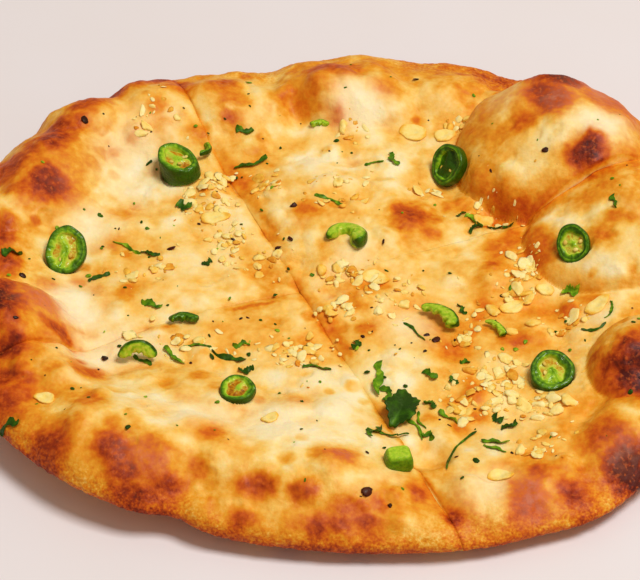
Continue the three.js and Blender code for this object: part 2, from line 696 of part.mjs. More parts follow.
// A shred that follows the crust: a flat strip with four stations, bent sideways.
function shredSolid({ at, turn, length, width, bend }, sliceName) {
  const stations = 4;
  const c = Math.cos(turn * degree);
  const s = Math.sin(turn * degree);
  const rings = [];
  for (let station = 0; station < stations; station += 1) {
    const t = 2 * station / (stations - 1) - 1;
    const along = t * length / 2;
    const aside = bend * (1 - t * t);
    const half = width / 2 * (1 - 0.35 * t * t);
    const x = at[0] + along * c - aside * s;
    const y = at[1] + along * s + aside * c;
    const z = surfaceAt(x, y, sliceName);
    const corners = [[half, -rootDepth], [half * 0.8, shredHeight], [-half * 0.8, shredHeight],
      [-half, -rootDepth]];
    rings.push(corners.map(([across, up]) => [x - across * s, y + across * c, z + up]));
  }
  return solidOf(loft(rings));
}

// Everything baked onto one slice.
function bakedOn(sliceName) {
  const draw = makeDraw(7);
  const own = (item) => sliceNames[sliceAt(item.at[0], item.at[1]).index] === sliceName;
  const solids = [];
  for (const slice of garlicSlices.filter(own)) {
    solids.push(lumpSolid({ at: slice.at, radius: slice.size / 2, height: garlicSliceHeight,
      sides: 8, turn: slice.turn, flat: true }, sliceName, draw));
  }
  for (const piece of scatterGarlic().filter(own)) {
    solids.push(lumpSolid({ ...piece, height: piece.radius * 2 * garlicHeight, sides: 5,
      turn: 360 * draw(), flat: false }, sliceName, draw));
  }
  for (const fleck of flecks.filter(own)) {
    solids.push(lumpSolid({ at: fleck.at, radius: fleck.size / 2, height: fleck.size * fleckHeight,
      sides: 5, turn: 40, flat: false }, sliceName, draw));
  }
  for (const shred of shreds.filter(own)) {
    solids.push(shredSolid(shred, sliceName));
  }
  return solids;
}

// Places a topping on the crust and tilts it: returns its mesh and the seat to cut for it.
function seatTopping(name, item, build, material) {
  const sliceName = sliceNames[sliceAt(item.at[0], item.at[1]).index];
  const mesh = new THREE.Mesh(geometryOf(solidOf(build(item))), material);
  mesh.name = name;
  const toward = (item.toward ?? 0) * degree;
  const axis = new THREE.Vector3(-Math.sin(toward), Math.cos(toward), 0);
  mesh.quaternion.setFromAxisAngle(axis, (item.lean ?? 0) * degree);
  const turn = new THREE.Quaternion().setFromAxisAngle(new THREE.Vector3(0, 0, 1),
    (item.turn ?? 0) * degree);
  mesh.quaternion.multiply(turn);
  mesh.position.set(item.at[0], item.at[1], surfaceAt(item.at[0], item.at[1], sliceName) + item.raise);
  mesh.updateMatrix();
  const hull = build(item, seatGap);
  const moved = hull.points.map((point) => new THREE.Vector3(...point).applyMatrix4(mesh.matrix).toArray());
  return { mesh, seat: solidOf({ points: moved, faces: hull.faces }) };
}

const crust = { color: 0xe0a55a, roughness: 0.55, metalness: 0 };
const chilliGreen = { color: 0x6f8a12, roughness: 0.35, metalness: 0 };
const leafGreen = { color: 0x2f4a14, roughness: 0.5, metalness: 0 };

function buildToppings() {
  const toppings = [];
  for (const [name, ring] of Object.entries(chilliRings)) {
    toppings.push(seatTopping(name, ring, ringMesh, new THREE.MeshStandardMaterial(chilliGreen)));
  }
  for (const [name, strip] of Object.entries(chilliStrips)) {
    toppings.push(seatTopping(name, strip, stripMesh, new THREE.MeshStandardMaterial(chilliGreen)));
  }
  toppings.push(seatTopping('chilli_end', chilliEnd, endMesh, new THREE.MeshStandardMaterial(chilliGreen)));
  toppings.push(seatTopping('coriander_leaf', leaf, leafMesh, new THREE.MeshStandardMaterial(leafGreen)));
  return toppings;
}

function buildSlice(sliceName, index, toppings) {
  let solid = solidOf(sliceMesh(sliceName, index));
  for (const part of bakedOn(sliceName)) {
    solid = solid.add(part);
  }
  for (const topping of toppings) {
    solid = solid.subtract(topping.seat);
  }
  const mesh = new THREE.Mesh(geometryOf(solid), new THREE.MeshStandardMaterial(crust));
  mesh.name = sliceName;
  return mesh;
}

const naan = new THREE.Group();
const toppings = buildToppings();
sliceNames.forEach((sliceName, index) => naan.add(buildSlice(sliceName, index, toppings)));
toppings.forEach((topping) => naan.add(topping.mesh));

// The middle of the whole bread, on the table, is the origin.
naan.updateMatrixWorld(true);
const extent = new THREE.Box3().setFromObject(naan, true);
const centre = extent.getCenter(new THREE.Vector3());
naan.position.set(-centre.x, -centre.y, -extent.min.z);

export default naan;
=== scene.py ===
import math

import bpy
import numpy as np
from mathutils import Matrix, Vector


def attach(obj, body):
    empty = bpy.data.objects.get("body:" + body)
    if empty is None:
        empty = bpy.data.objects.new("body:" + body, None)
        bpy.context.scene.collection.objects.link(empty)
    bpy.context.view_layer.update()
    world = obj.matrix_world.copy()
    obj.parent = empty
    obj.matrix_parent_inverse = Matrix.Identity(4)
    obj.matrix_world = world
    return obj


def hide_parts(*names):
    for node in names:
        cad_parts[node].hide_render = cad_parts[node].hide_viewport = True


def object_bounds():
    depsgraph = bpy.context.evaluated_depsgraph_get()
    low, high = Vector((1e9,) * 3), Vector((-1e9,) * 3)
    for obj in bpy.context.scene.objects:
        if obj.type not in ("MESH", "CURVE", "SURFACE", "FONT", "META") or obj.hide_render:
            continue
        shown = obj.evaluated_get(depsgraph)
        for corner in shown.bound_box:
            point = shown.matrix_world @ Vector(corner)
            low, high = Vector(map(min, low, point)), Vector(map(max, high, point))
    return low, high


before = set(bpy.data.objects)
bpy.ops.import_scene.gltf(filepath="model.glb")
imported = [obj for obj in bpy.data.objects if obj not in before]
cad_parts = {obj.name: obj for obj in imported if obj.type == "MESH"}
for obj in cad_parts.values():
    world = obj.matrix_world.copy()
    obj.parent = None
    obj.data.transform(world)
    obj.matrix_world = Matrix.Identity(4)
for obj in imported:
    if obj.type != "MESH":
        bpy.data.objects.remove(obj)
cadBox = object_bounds()
print("frame loaded with", len(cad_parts), "nodes")

degree = math.pi / 180
metre = 0.001  # one millimetre in metres
crossing = np.array([-8.96, -5.089, 0.0])  # where the cuts cross, in the frame

# The form of the bread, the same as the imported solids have
bread = {
    "rimReach": [145, 147, 151, 149, 145, 137, 129.5, 125, 130, 132, 129.5, 129,
                 127, 126, 125, 124, 122, 119, 120.5, 126.5, 136, 146, 147, 147],
    "rimHeight": [20, 21, 20, 15, 17, 18, 20, 20, 19, 19, 20, 20, 20, 20, 17.5, 13.5, 14, 18],
    "rimCurl": [6, 7, 7, 5, 5, 5, 6, 6, 6, 8, 9, 9, 8, 3, 2, 2, 3, 5],
    "middleHeight": 9.5,
    "rimBand": (0.6, 0.88),  # shares of the reach between which the rim rises
    "foldBand": (0.7, 0.95),
    "restShare": 0.66,  # share of the reach that rests on the table
    "edgeAboveCurl": 4.5,
    "topRound": 9,  # the higher, the tighter the edge is rounded
    "footRound": 16,
    "curlPower": 1.2,
    "waveHeight": 0.32,
    "waves": [(1, 11, 19, 0), (1, -27, 9, 1.3), (0.8, 7.3, 7.3, 0.4)],  # share, lengths, phase
    "swellFoot": 0.6,
    "swellBlend": 1.5,
    "hollowPower": 1.5,
    "leftCutBow": 9,
    "bowStart": 0.12,
}

# Folds of the rim: angle, pull inwards, dip of the crest, width in degrees
rimFolds = [
    (57, 2, 3, 3.5), (70, 1.5, 1.5, 3.5), (96, 2.5, 2.5, 3.5), (126, 3, 3, 3.5), (141, 2, 2, 3),
    (160, 2, 2, 4), (182, 2, 2, 4), (205, 1.5, 2, 4), (222, 0.5, 1, 4), (250, 3, 2.5, 4),
    (304, 0.5, 2, 3.5), (318, 0.8, 3, 4), (334, 2, 4, 3.5), (350, 2, 4, 4),
]

# Arms of the cuts: angle, gap, how far the edges have sunk, how much painted shade browns the crust
# along them
cuts = [(23, 0.5, 0.2, 0), (113.5, 0.8, 1.2, 0.12),
        (204, 0.8, 1.0, 0.05), (293.5, 0.8, 1.2, 0.14)]

# Bubbles: x, y, half length, half width, turn, rise, softness of the side
swelling = {
    "slice_back_right": [
        (95, 70, 39, 36, 23, 22, 0.5), (20, 34, 48, 31, -38, 6.5, 0.8),
        (41, 31, 13, 10, 0, 2.4, 1.3), (1, 39, 9, 8, 0, 1.6, 1.3), (-26, 98, 26, 17, -5, 5, 0.9),
        (20, 104, 27, 17, -3, 9, 0.9), (18, 91, 8, 7, 0, 2.2, 1), (56, 107, 28, 16, -15, 5, 0.9),
    ],
    "slice_back_left": [
        (-101, 53, 38, 25, 55, 9, 0.8), (-83, 84, 21, 14, 35, 7, 0.9), (-60, 98, 23, 16, 15, 6, 0.9),
        (-46, 76, 26, 34, 20, 5, 1.2), (-105, -25, 32, 22, -5, 13, 0.7), (-52, -3, 24, 13, 5, 3, 1.5),
    ],
    "slice_front_left": [
        (-84, -48, 30, 17, -25, 6, 0.9), (-98, -68, 26, 20, -40, 5, 1), (-46, -74, 50, 35, 8, 9, 0.9),
        (2, -82, 42, 32, -12, 8, 0.9), (13.5, -92, 9, 8, 0, 2.2, 1.2), (36.5, -100, 9, 7, 0, 2.4, 1.2),
    ],
    "slice_front_right": [
        (57, -104, 12, 12, 0, 3, 1), (80, -104, 27, 19, 35, 6, 1), (113, -80, 31, 23, 55, 9, 0.9),
        (119, -45, 22, 23, 0, 13, 0.65), (116, 25, 37, 33, 20, 13.5, 0.5),
        (68, 6, 26, 17, -15, 3.5, 1.4), (74, -28, 8, 6, 0, 1.4, 1.5), (24, -23, 9, 7, 0, 1.2, 1.5),
    ],
}
sliceNames = list(swelling)

# Hollows: x, y, half length, half width, turn, depth
hollows = [(42, -83, 11, 9, 0, 4), (53, 56, 13, 8, -38, 2.5), (69, 37, 9, 7, 0, 3),
           (-1, 96, 9, 14, 0, 3), (66, -66, 26, 18, 20, 1.5)]


# Catmull-Rom run through equally spaced values round the bread
def around(values, angle):
    values = np.asarray(values, float)
    place = np.mod(angle, 360) / 360 * len(values)
    first = np.floor(place).astype(int)
    t = place - first
    a, b, c, d = (values[(first + step) % len(values)] for step in (-1, 0, 1, 2))
    square = (2 * a - 5 * b + 4 * c - d) * t ** 2
    cube = (3 * b - a - 3 * c + d) * t ** 3
    return 0.5 * (2 * b + (c - a) * t + square + cube)


def turnFrom(angle, at):
    return np.mod(angle - at + 180, 360) - 180


def turned(x, y, angle):
    c, s = np.cos(angle * degree), np.sin(angle * degree)
    return x * c - y * s, x * s + y * c


def ramp(low, high, value):
    t = np.clip((value - low) / (high - low), 0, 1)
    return t * t * (3 - 2 * t)


# Sum of bell curves round the rim, one for each fold
def foldSum(angle, column):
    return sum(fold[column] * np.exp(-(turnFrom(angle, fold[0]) / fold[3]) ** 2)
               for fold in rimFolds)


def reach(angle):
    return around(bread["rimReach"], angle) - foldSum(angle, 1)


# Squared distance from the middle of a turned ellipse, 1 on its outline
def ellipseSquare(x, y, spot):
    u, v = turned(x - spot[0], y - spot[1], -spot[4])
    return (u / spot[2]) ** 2 + (v / spot[3]) ** 2


def dome(x, y, spot, power):
    return np.maximum(0, 1 - ellipseSquare(x, y, spot)) ** power


def blendMax(a, b, width):
    t = np.clip(0.5 + 0.5 * (a - b) / width, 0, 1)
    return b * (1 - t) + a * t + width * t * (1 - t)


# Middle height + the rim's rise + the highest bubble - hollows + waves - folds
def crustHeight(x, y, sliceName):
    angle = np.arctan2(y, x) / degree
    share = np.hypot(x, y) / reach(angle)
    rim = around(bread["rimHeight"], angle) - bread["middleHeight"]
    rise = np.zeros_like(x)
    for bubble in swelling[sliceName]:
        swell = bubble[5] * dome(x, y, bubble, bubble[6]) - bread["swellFoot"]
        rise = blendMax(rise, swell, bread["swellBlend"])
    for hollow in hollows:
        rise = rise - hollow[5] * dome(x, y, hollow, bread["hollowPower"])
    wave = sum(height * np.sin(x / alongX + y / alongY + phase)
               for height, alongX, alongY, phase in bread["waves"])
    folds = foldSum(angle, 2) * ramp(*bread["foldBand"], share)
    raised = rim * ramp(*bread["rimBand"], share)
    return bread["middleHeight"] + raised + rise + bread["waveHeight"] * wave - folds


def edgeHeight(angle):
    return around(bread["rimCurl"], angle) + bread["edgeAboveCurl"]


# Falls from 1 in the middle to 0 at the edge: root of (1 - share to a high power)
def roundedOff(share, power):
    return np.sqrt(np.maximum(0, 1 - share ** power))


# The crust rounded down to the edge: edge + (crust - edge) * rounding
def topHeight(x, y, share, angle, sliceName):
    edge = edgeHeight(angle)
    return edge + (crustHeight(x, y, sliceName) - edge) * roundedOff(share, bread["topRound"])


# Flat out to the rest share, then curled up and rounded into the edge
def undersideHeight(share, angle):
    edge = edgeHeight(angle)
    rest = bread["restShare"]
    lifted = around(bread["rimCurl"], angle) * ramp(rest, 1, share) ** bread["curlPower"]
    curled = edge - (edge - lifted) * roundedOff(share, bread["footRound"])
    return np.where(share <= rest, 0, curled)


# Degrees by which the plan turns so that the left cut bends towards the front
def bowTurn(share, angle):
    nearLeftCut = np.maximum(0, np.cos(turnFrom(angle, cuts[2][0]) * degree)) ** 2
    return -bread["leftCutBow"] * (1 - share) ** 2 * ramp(0, bread["bowStart"], share) * nearLeftCut


# How closely the slices still meet along each cut
meeting = {
    # level, how much of it is left near the middle, share of the reach where it ends
    "arms": [(1.0, 1.0, 0.72), (0.5, 1.0, 0.85), (0.9, 0.1, 0.75), (0.7, 1.0, 0.9)],
    "width": 9,
    "innerBand": (0.22, 0.42),
    "fade": 0.18,
}


# A slice's own height, blended with its neighbours' close to the two cuts beside it
def metHeight(x, y, share, angle, index, toStart, toEnd):
    heights = [topHeight(x, y, share, angle, name) for name in sliceNames]
    pulls = []
    for cut, away in ((index, toStart), (index + 1, toEnd)):
        level, inner, outTo = meeting["arms"][cut % 4]
        level = level * (inner + (1 - inner) * ramp(*meeting["innerBand"], share))
        fade = ramp(outTo, outTo - meeting["fade"], share)
        pulls.append(level * ramp(meeting["width"], 0, away) * fade / 2)
    back, ahead = pulls
    own = (1 - back) * (1 - ahead) * heights[index] + back * (1 - ahead) * heights[index - 1]
    opposite = back * ahead * heights[(index + 2) % 4]
    return own + (1 - back) * ahead * heights[(index + 1) % 4] + opposite


# Which slice a place lies on, and how far it is from the cuts before and after it
def sliceAt(x, y):
    angle = np.arctan2(y, x) / degree
    radius = np.hypot(x, y)
    straight = np.mod(angle - bowTurn(radius / reach(angle), angle) - cuts[0][0], 360)
    starts = np.array([cut[0] - cuts[0][0] for cut in cuts])
    index = np.searchsorted(starts, straight, side="right") - 1
    beside = []
    for start in starts:
        away = turnFrom(straight, start)
        beside.append(np.where(np.abs(away) < 90, radius * np.abs(np.sin(away * degree)), radius))
    return index, beside


def surfaceAt(x, y):
    x, y = np.asarray(x, float), np.asarray(y, float)
    angle = np.arctan2(y, x) / degree
    share = np.minimum(1, np.hypot(x, y) / reach(angle))
    index, beside = sliceAt(x, y)
    heights = [metHeight(x, y, share, angle, i, beside[i], beside[(i + 1) % 4]) for i in range(4)]
    return np.choose(index, heights)


hashSteps = (374761393, 668265263, 1274126177, 362437)  # large numbers that scatter the draws


# Even draws between 0 and 1 for whole numbers, always the same for the same cell
def cellDraw(ix, iy, iz, seed):
    a, b, c, d = hashSteps
    n = (ix * a + iy * b + iz * c + seed * d) & 0xFFFFFFFF
    n = ((n ^ (n >> 13)) * c) & 0xFFFFFFFF
    return ((n ^ (n >> 16)) & 0xFFFFFF) / 0xFFFFFF


# Smooth bumps between -1 and 1: draws at lattice points a size apart, blended by smoothstep
def softNoise(points, size, seed):
    place = points / size
    cell = np.floor(place).astype(np.int64)
    t = place - cell
    t = t * t * (3 - 2 * t)
    total = np.zeros(len(points))
    for corner in np.ndindex(2, 2, 2):
        weight = np.prod(np.abs(1 - np.array(corner) - t), axis=1)
        total += weight * cellDraw(*(cell + corner).T, seed)
    return 2 * total - 1


def noiseSum(points, layers):
    return sum(strength * softNoise(points, size, seed) for size, strength, seed in layers)


# Where spots lie in their cells, and their radii: least share of the size, and what is drawn on top
spotPlace, spotRadius = (0.15, 0.7), (0.28, 0.34)


# Round spots, one in some of the cells of a grid: the highest of (1 - squared distance) near by
def spotField(x, y, size, chance, seed):
    cellX, cellY = np.floor(x / size).astype(np.int64), np.floor(y / size).astype(np.int64)
    best = np.zeros(len(x))
    for dx, dy in np.ndindex(3, 3):
        ix, iy = cellX + dx - 1, cellY + dy - 1
        alongX, alongY, wide, there = (cellDraw(ix, iy, step, seed) for step in range(4))
        midX = (ix + spotPlace[0] + spotPlace[1] * alongX) * size
        midY = (iy + spotPlace[0] + spotPlace[1] * alongY) * size
        radius = size * (spotRadius[0] + spotRadius[1] * wide)
        spot = 1 - ((x - midX) ** 2 + (y - midY) ** 2) / radius ** 2
        best = np.maximum(best, np.where(there < chance, spot, 0))
    return best


weldSteps = 2000  # places that round to the same step of a millimetre are one


# Joins points that share a place, and drops triangles that this closes up
def weld(points, triangles, values):
    keys = np.round(points * weldSteps).astype(np.int64)
    _, first, inverse = np.unique(keys, axis=0, return_index=True, return_inverse=True)
    triangles = inverse.ravel()[triangles]
    a, b, c = triangles.T
    keep = (a != b) & (b != c) & (a != c)
    return points[first], triangles[keep], {key: value[first] for key, value in values.items()}


def vertexNormals(points, triangles):
    a, b, c = (points[triangles[:, corner]] for corner in range(3))
    faceNormals = np.cross(b - a, c - a)
    normals = np.zeros_like(points)
    for axis in range(3):
        for corner in range(3):
            normals[:, axis] += np.bincount(triangles[:, corner], faceNormals[:, axis], len(points))
    return normals / np.maximum(np.linalg.norm(normals, axis=1), 1e-12)[:, None]


# Triangles of a grid of rows and columns of points; wrap joins the last column to the first
def gridTriangles(rows, columns, wrap=False, flip=False, first=0):
    last = columns if wrap else columns - 1
    k, j = np.indices((rows - 1, last)).reshape(2, -1)
    after = (j + 1) % columns
    a, b = first + k * columns + j, first + (k + 1) * columns + j
    c, d = first + (k + 1) * columns + after, first + k * columns + after
    triangles = np.concatenate([np.stack([a, b, c], 1), np.stack([a, c, d], 1)])
    return triangles[:, ::-1] if flip else triangles


def pointList(x, y, z):
    return np.stack(np.broadcast_arrays(x, y, z), -1).reshape(-1, 3)


def wholeTurn(columns):
    return (np.arange(columns) / columns * 2 * math.pi)[None, :]


# Rows of a profile resampled evenly: the places along it and each of its columns
def resampled(table, rows):
    at = np.linspace(0, len(table) - 1, rows)
    columns = np.array(table, float).T
    return at, [np.interp(at, np.arange(len(table)), column)[:, None] for column in columns]


def ballMesh(rows, columns):
    v, h = (np.arange(rows) / (rows - 1) * math.pi)[:, None], wholeTurn(columns)
    ball = pointList(np.sin(v) * np.cos(h), np.sin(v) * np.sin(h), np.cos(v))
    return weld(ball, gridTriangles(rows, columns, wrap=True), {})[:2]


# Draws the first and the last row of a grid together into a point each
def closeEnds(points, rows):
    grid = points.reshape(rows, -1, 3)
    for end in (0, -1):
        grid[end] = grid[end].mean(0)


# Several small meshes as one, each with its own tint
def joined(parts):
    starts = np.cumsum([0] + [len(points) for points, _, _ in parts])
    triangles = [faces + start for (_, faces, _), start in zip(parts, starts)]
    points, _, tints = zip(*parts)
    return np.concatenate(points), np.concatenate(triangles), {"tint": np.concatenate(tints)}


# Puts points (millimetres from the crossing) and triangles into a mesh object of the frame
def makePiece(name, points, triangles, material, values):
    mesh = bpy.data.meshes.new(name)
    placed = ((points + crossing) * metre).astype(np.float32)
    mesh.vertices.add(len(placed))
    mesh.vertices.foreach_set("co", placed.ravel())
    mesh.loops.add(triangles.size)
    mesh.loops.foreach_set("vertex_index", triangles.astype(np.int32).ravel())
    mesh.polygons.add(len(triangles))
    mesh.polygons.foreach_set("loop_start", np.arange(0, triangles.size, 3, dtype=np.int32))
    for key, value in values.items():
        attribute = mesh.attributes.new(key, "FLOAT", "POINT")
        attribute.data.foreach_set("value", np.asarray(value, np.float32))
    mesh.update(calc_edges=True)
    mesh.validate()
    mesh.shade_smooth()
    piece = bpy.data.objects.new(name, mesh)
    bpy.context.scene.collection.objects.link(piece)
    mesh.materials.append(material)
    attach(piece, "root")
    return piece


# Materials

# Turns a colour as seen on a screen, 0 to 255, into linear light
def screenColour(red, green, blue):
    shares = [value / 255 for value in (red, green, blue)]
    linear = [v / 12.92 if v <= 0.04045 else ((v + 0.055) / 1.055) ** 2.4 for v in shares]
    return (*linear, 1)


# Links sockets to a node's inputs, and sets plain values on them
def setInputs(tree, node, inputs):
    for key, value in inputs.items():
        if isinstance(value, bpy.types.NodeSocket):
            tree.links.new(value, node.inputs[key])
        else:
            node.inputs[key].default_value = value


def addNode(tree, kind, inputs=None, **settings):
    node = tree.nodes.new(kind)
    for key, value in settings.items():
        setattr(node, key, value)
    setInputs(tree, node, inputs or {})
    return node


def calculate(tree, operation, a, b=0.0, c=0.0):
    return addNode(tree, "ShaderNodeMath", {0: a, 1: b, 2: c}, operation=operation).outputs[0]


# Stretches a value from one range to another and holds it at the ends
def stretched(tree, value, start, end, low=0.0, high=1.0):
    return addNode(tree, "ShaderNodeMapRange", {
        "Value": value, "From Min": start, "From Max": end, "To Min": low, "To Max": high}).outputs[0]


def blendIn(tree, colour, share, tint, blend="MIX"):
    inputs = {0: share, 6: colour, 7: screenColour(*tint)}
    return addNode(tree, "ShaderNodeMix", inputs, data_type="RGBA", blend_type=blend).outputs[2]


def attributeOf(tree, name):
    return addNode(tree, "ShaderNodeAttribute", attribute_name=name).outputs["Fac"]


def colourRamp(tree, value, stops):
    node = addNode(tree, "ShaderNodeValToRGB", {0: value})
    while len(node.color_ramp.elements) < len(stops):
        node.color_ramp.elements.new(0.5)
    for element, (position, colour) in zip(node.color_ramp.elements, stops):
        element.position = position
        element.color = screenColour(*colour)
    return node.outputs["Color"]


def newMaterial(name):
    material = bpy.data.materials.new(name)
    material.use_nodes = True
    tree = material.node_tree
    shader = tree.nodes["Principled BSDF"]
    coordinates = addNode(tree, "ShaderNodeTexCoord").outputs["Object"]
    return material, tree, shader, coordinates


# A group that takes a vector and a few sizes, and gives one value
def newGroup(name, sizes, result):
    group = bpy.data.node_groups.new(name, "ShaderNodeTree")
    sockets = group.interface
    sockets.new_socket("Vector", in_out="INPUT", socket_type="NodeSocketVector")
    for label, size in sizes.items():
        sockets.new_socket(label, in_out="INPUT", socket_type="NodeSocketFloat").default_value = size
    sockets.new_socket(result, in_out="OUTPUT", socket_type="NodeSocketFloat")
    given = group.nodes.new("NodeGroupInput").outputs
    return group, given, group.nodes.new("NodeGroupOutput").inputs[result]


def useGroup(tree, group, vector, **inputs):
    return addNode(tree, "ShaderNodeGroup", {"Vector": vector, **inputs}, node_tree=group).outputs[0]


groupLook = {
    "noiseBand": (0.28, 0.72),  # the part of the noise that is stretched to run from -1 to 1
    "pitsPerSize": 0.42,  # how many pits fit in one size
    "pitReach": 0.35,
}


# Mottle: fractal noise with bumps of a size in millimetres, stretched to run from -1 to 1
def mottleGroup():
    group, given, result = newGroup("mottle", {"Size": 5.0, "Detail": 3.0}, "Value")
    noise = addNode(group, "ShaderNodeTexNoise", {
        "Vector": given["Vector"], "Detail": given["Detail"],
        "Scale": calculate(group, "DIVIDE", 1 / metre, given["Size"])})
    group.links.new(stretched(group, noise.outputs["Fac"], *groupLook["noiseBand"], -1.0, 1.0), result)
    return group


# Crumbly relief: fine mottle - small pits where a cell pattern is near its middle, as a height
def reliefGroup():
    group, given, result = newGroup("crumbly relief", {"Size": 1.2, "Pits": 0.4}, "Height")
    fine = useGroup(group, mottle, given["Vector"], Size=given["Size"])
    cells = addNode(group, "ShaderNodeTexVoronoi", {
        "Vector": given["Vector"],
        "Scale": calculate(group, "DIVIDE", groupLook["pitsPerSize"] / metre, given["Size"])})
    pit = stretched(group, cells.outputs["Distance"], 0.0, groupLook["pitReach"], 1.0, 0.0)
    sunk = calculate(group, "MULTIPLY", pit, given["Pits"])
    group.links.new(calculate(group, "SUBTRACT", fine, sunk), result)
    return group


mottle = mottleGroup()
relief = reliefGroup()


def mottleOf(tree, coordinates, size, detail=3.0):
    return useGroup(tree, mottle, coordinates, Size=size, Detail=detail)


def reliefOf(tree, coordinates, size, pits):
    return useGroup(tree, relief, coordinates, Size=size, Pits=pits)


def bumpFrom(tree, height, strength, distance):
    inputs = {"Height": height, "Strength": strength, "Distance": distance}
    return addNode(tree, "ShaderNodeBump", inputs).outputs["Normal"]


crustLook = {
    "stops": [  # toast, colour in even light
        (0.00, (255, 238, 190)), (0.10, (255, 224, 150)), (0.22, (249, 199, 96)),
        (0.36, (236, 160, 36)), (0.50, (222, 122, 8)), (0.64, (200, 86, 2)),
        (0.80, (156, 50, 1)), (1.00, (82, 15, 2)),
    ],
    "broad": (9.0, 3.0), "broadShare": 0.05,  # size and detail of a mottle, then how strong it is
    "fine": (2.2, 5.0), "fineShare": (0.14, 0.02),  # for each unit of toast, and everywhere
    "speck": (0.9, 2.0), "speckShare": 0.17,
    "butterTint": (255, 222, 132), "butterShare": 0.5,
    "paleAndHighlightTint": (255, 240, 202), "paleShare": 0.7,
    "fleck": (1.5, 4.0), "fleckBand": (0.2, 0.8), "fleckTint": (222, 104, 28),
    "fleckToast": (0.5, 0.8), "fleckShare": 0.45,
    "bloomTint": (232, 142, 104), "bloomShare": (0.45, 0.5),  # with the fine mottle, and everywhere
    "roughness": (0.42, 0.74),
    "softRelief": (2.4, 0.15), "crumbRelief": (0.8, 0.8), "crumbShare": (0.9, 0.08),
    "bump": (0.2, 0.0006),
    "shader": {
        "Subsurface Weight": 0.2, "Subsurface Radius": (1.0, 0.5, 0.15), "Subsurface Scale": 0.0022,
        "Coat Weight": 0.03, "Coat Roughness": 0.25, "Specular IOR Level": 0.22,
    },
}


# Toast (browning, with painted shade in the grooves, hollows and on steep sides) + broad and fine
# mottle + specks in the grainy band picks the colour from the stops. Butter multiplies it, then the
# pale tint (pale dough and painted highlight), flecks on well baked places and the bloom are mixed in.
def crustMaterial():
    look = crustLook
    material, tree, shader, coordinates = newMaterial("baked crust")
    toastAndShade, grain = attributeOf(tree, "toastAndShade"), attributeOf(tree, "grain")
    broad, fine, speck, fleck = (
        mottleOf(tree, coordinates, *look[name]) for name in ("broad", "fine", "speck", "fleck"))
    total = calculate(tree, "MULTIPLY_ADD", broad, look["broadShare"], toastAndShade)
    fineShare = calculate(tree, "MULTIPLY_ADD", toastAndShade, *look["fineShare"])
    total = calculate(tree, "MULTIPLY_ADD", fine, fineShare, total)
    speckShare = calculate(tree, "MULTIPLY", grain, look["speckShare"])
    total = calculate(tree, "MULTIPLY_ADD", speck, speckShare, total)
    colour = colourRamp(tree, total, look["stops"])
    butterShare = calculate(tree, "MULTIPLY", attributeOf(tree, "butter"), look["butterShare"])
    colour = blendIn(tree, colour, butterShare, look["butterTint"], "MULTIPLY")
    paleShare = calculate(tree, "MULTIPLY", attributeOf(tree, "pale"), look["paleShare"])
    colour = blendIn(tree, colour, paleShare, look["paleAndHighlightTint"])
    baked = stretched(tree, toastAndShade, *look["fleckToast"], 0.0, look["fleckShare"])
    fleckShare = calculate(tree, "MULTIPLY", stretched(tree, fleck, *look["fleckBand"]), baked)
    colour = blendIn(tree, colour, fleckShare, look["fleckTint"])
    bloomShare = calculate(tree, "MULTIPLY_ADD", fine, *look["bloomShare"])
    bloomShare = calculate(tree, "MULTIPLY", attributeOf(tree, "bloom"), bloomShare)
    crumbShare = calculate(tree, "MULTIPLY_ADD", grain, *look["crumbShare"])
    height = calculate(tree, "MULTIPLY_ADD", reliefOf(tree, coordinates, *look["crumbRelief"]),
                       crumbShare, reliefOf(tree, coordinates, *look["softRelief"]))
    setInputs(tree, shader, {
        "Base Color": blendIn(tree, colour, bloomShare, look["bloomTint"]),
        "Roughness": stretched(tree, broad, -1.0, 1.0, *look["roughness"]),
        "Normal": bumpFrom(tree, height, *look["bump"]), **look["shader"]})
    return material


chilliLook = {
    "stops": [  # from the skin inwards: skin, rind, flesh, membrane, hollow
        (0.00, (48, 92, 0)), (0.20, (82, 130, 10)), (0.34, (124, 168, 18)), (0.50, (176, 206, 46)),
        (0.66, (210, 210, 78)), (0.82, (204, 134, 14)), (1.00, (146, 74, 4)),
    ],
    "fine": (1.1, 4.0), "fineShare": 0.09,
    "broad": (5.0, 3.0), "darkShare": (0.3, 0.35),  # with the broad mottle, and everywhere
    "skinBand": (0.05, 0.3), "skinDark": (14, 36, 0),
    "roughness": (0.26, 0.5),
    "relief": (0.9, 0.2), "bump": (0.4, 0.0003),
    "shader": {
        "Subsurface Weight": 0.15, "Subsurface Radius": (0.6, 1.0, 0.2), "Subsurface Scale": 0.001,
        "Coat Weight": 0.22, "Coat Roughness": 0.1, "Coat Tint": (0.85, 1.0, 0.5, 1),
        "Specular IOR Level": 0.3, "Specular Tint": (0.8, 1.0, 0.35, 1),
    },
}


# The zone attribute + fine mottle picks the colour; broad mottle darkens the skin in places
def chilliMaterial():
    look = chilliLook
    material, tree, shader, coordinates = newMaterial("green chilli")
    zone = attributeOf(tree, "zone")
    fine, broad = (mottleOf(tree, coordinates, *look[name]) for name in ("fine", "broad"))
    total = calculate(tree, "MULTIPLY_ADD", fine, look["fineShare"], zone)
    colour = colourRamp(tree, total, look["stops"])
    onSkin = stretched(tree, zone, *look["skinBand"], 1.0, 0.0)
    dark = calculate(tree, "MULTIPLY_ADD", broad, *look["darkShare"])
    darkShare = calculate(tree, "MULTIPLY", dark, onSkin)
    height = reliefOf(tree, coordinates, *look["relief"])
    setInputs(tree, shader, {
        "Base Color": blendIn(tree, colour, darkShare, look["skinDark"]),
        "Roughness": stretched(tree, fine, -1.0, 1.0, *look["roughness"]),
        "Normal": bumpFrom(tree, height, *look["bump"]), **look["shader"]})
    return material


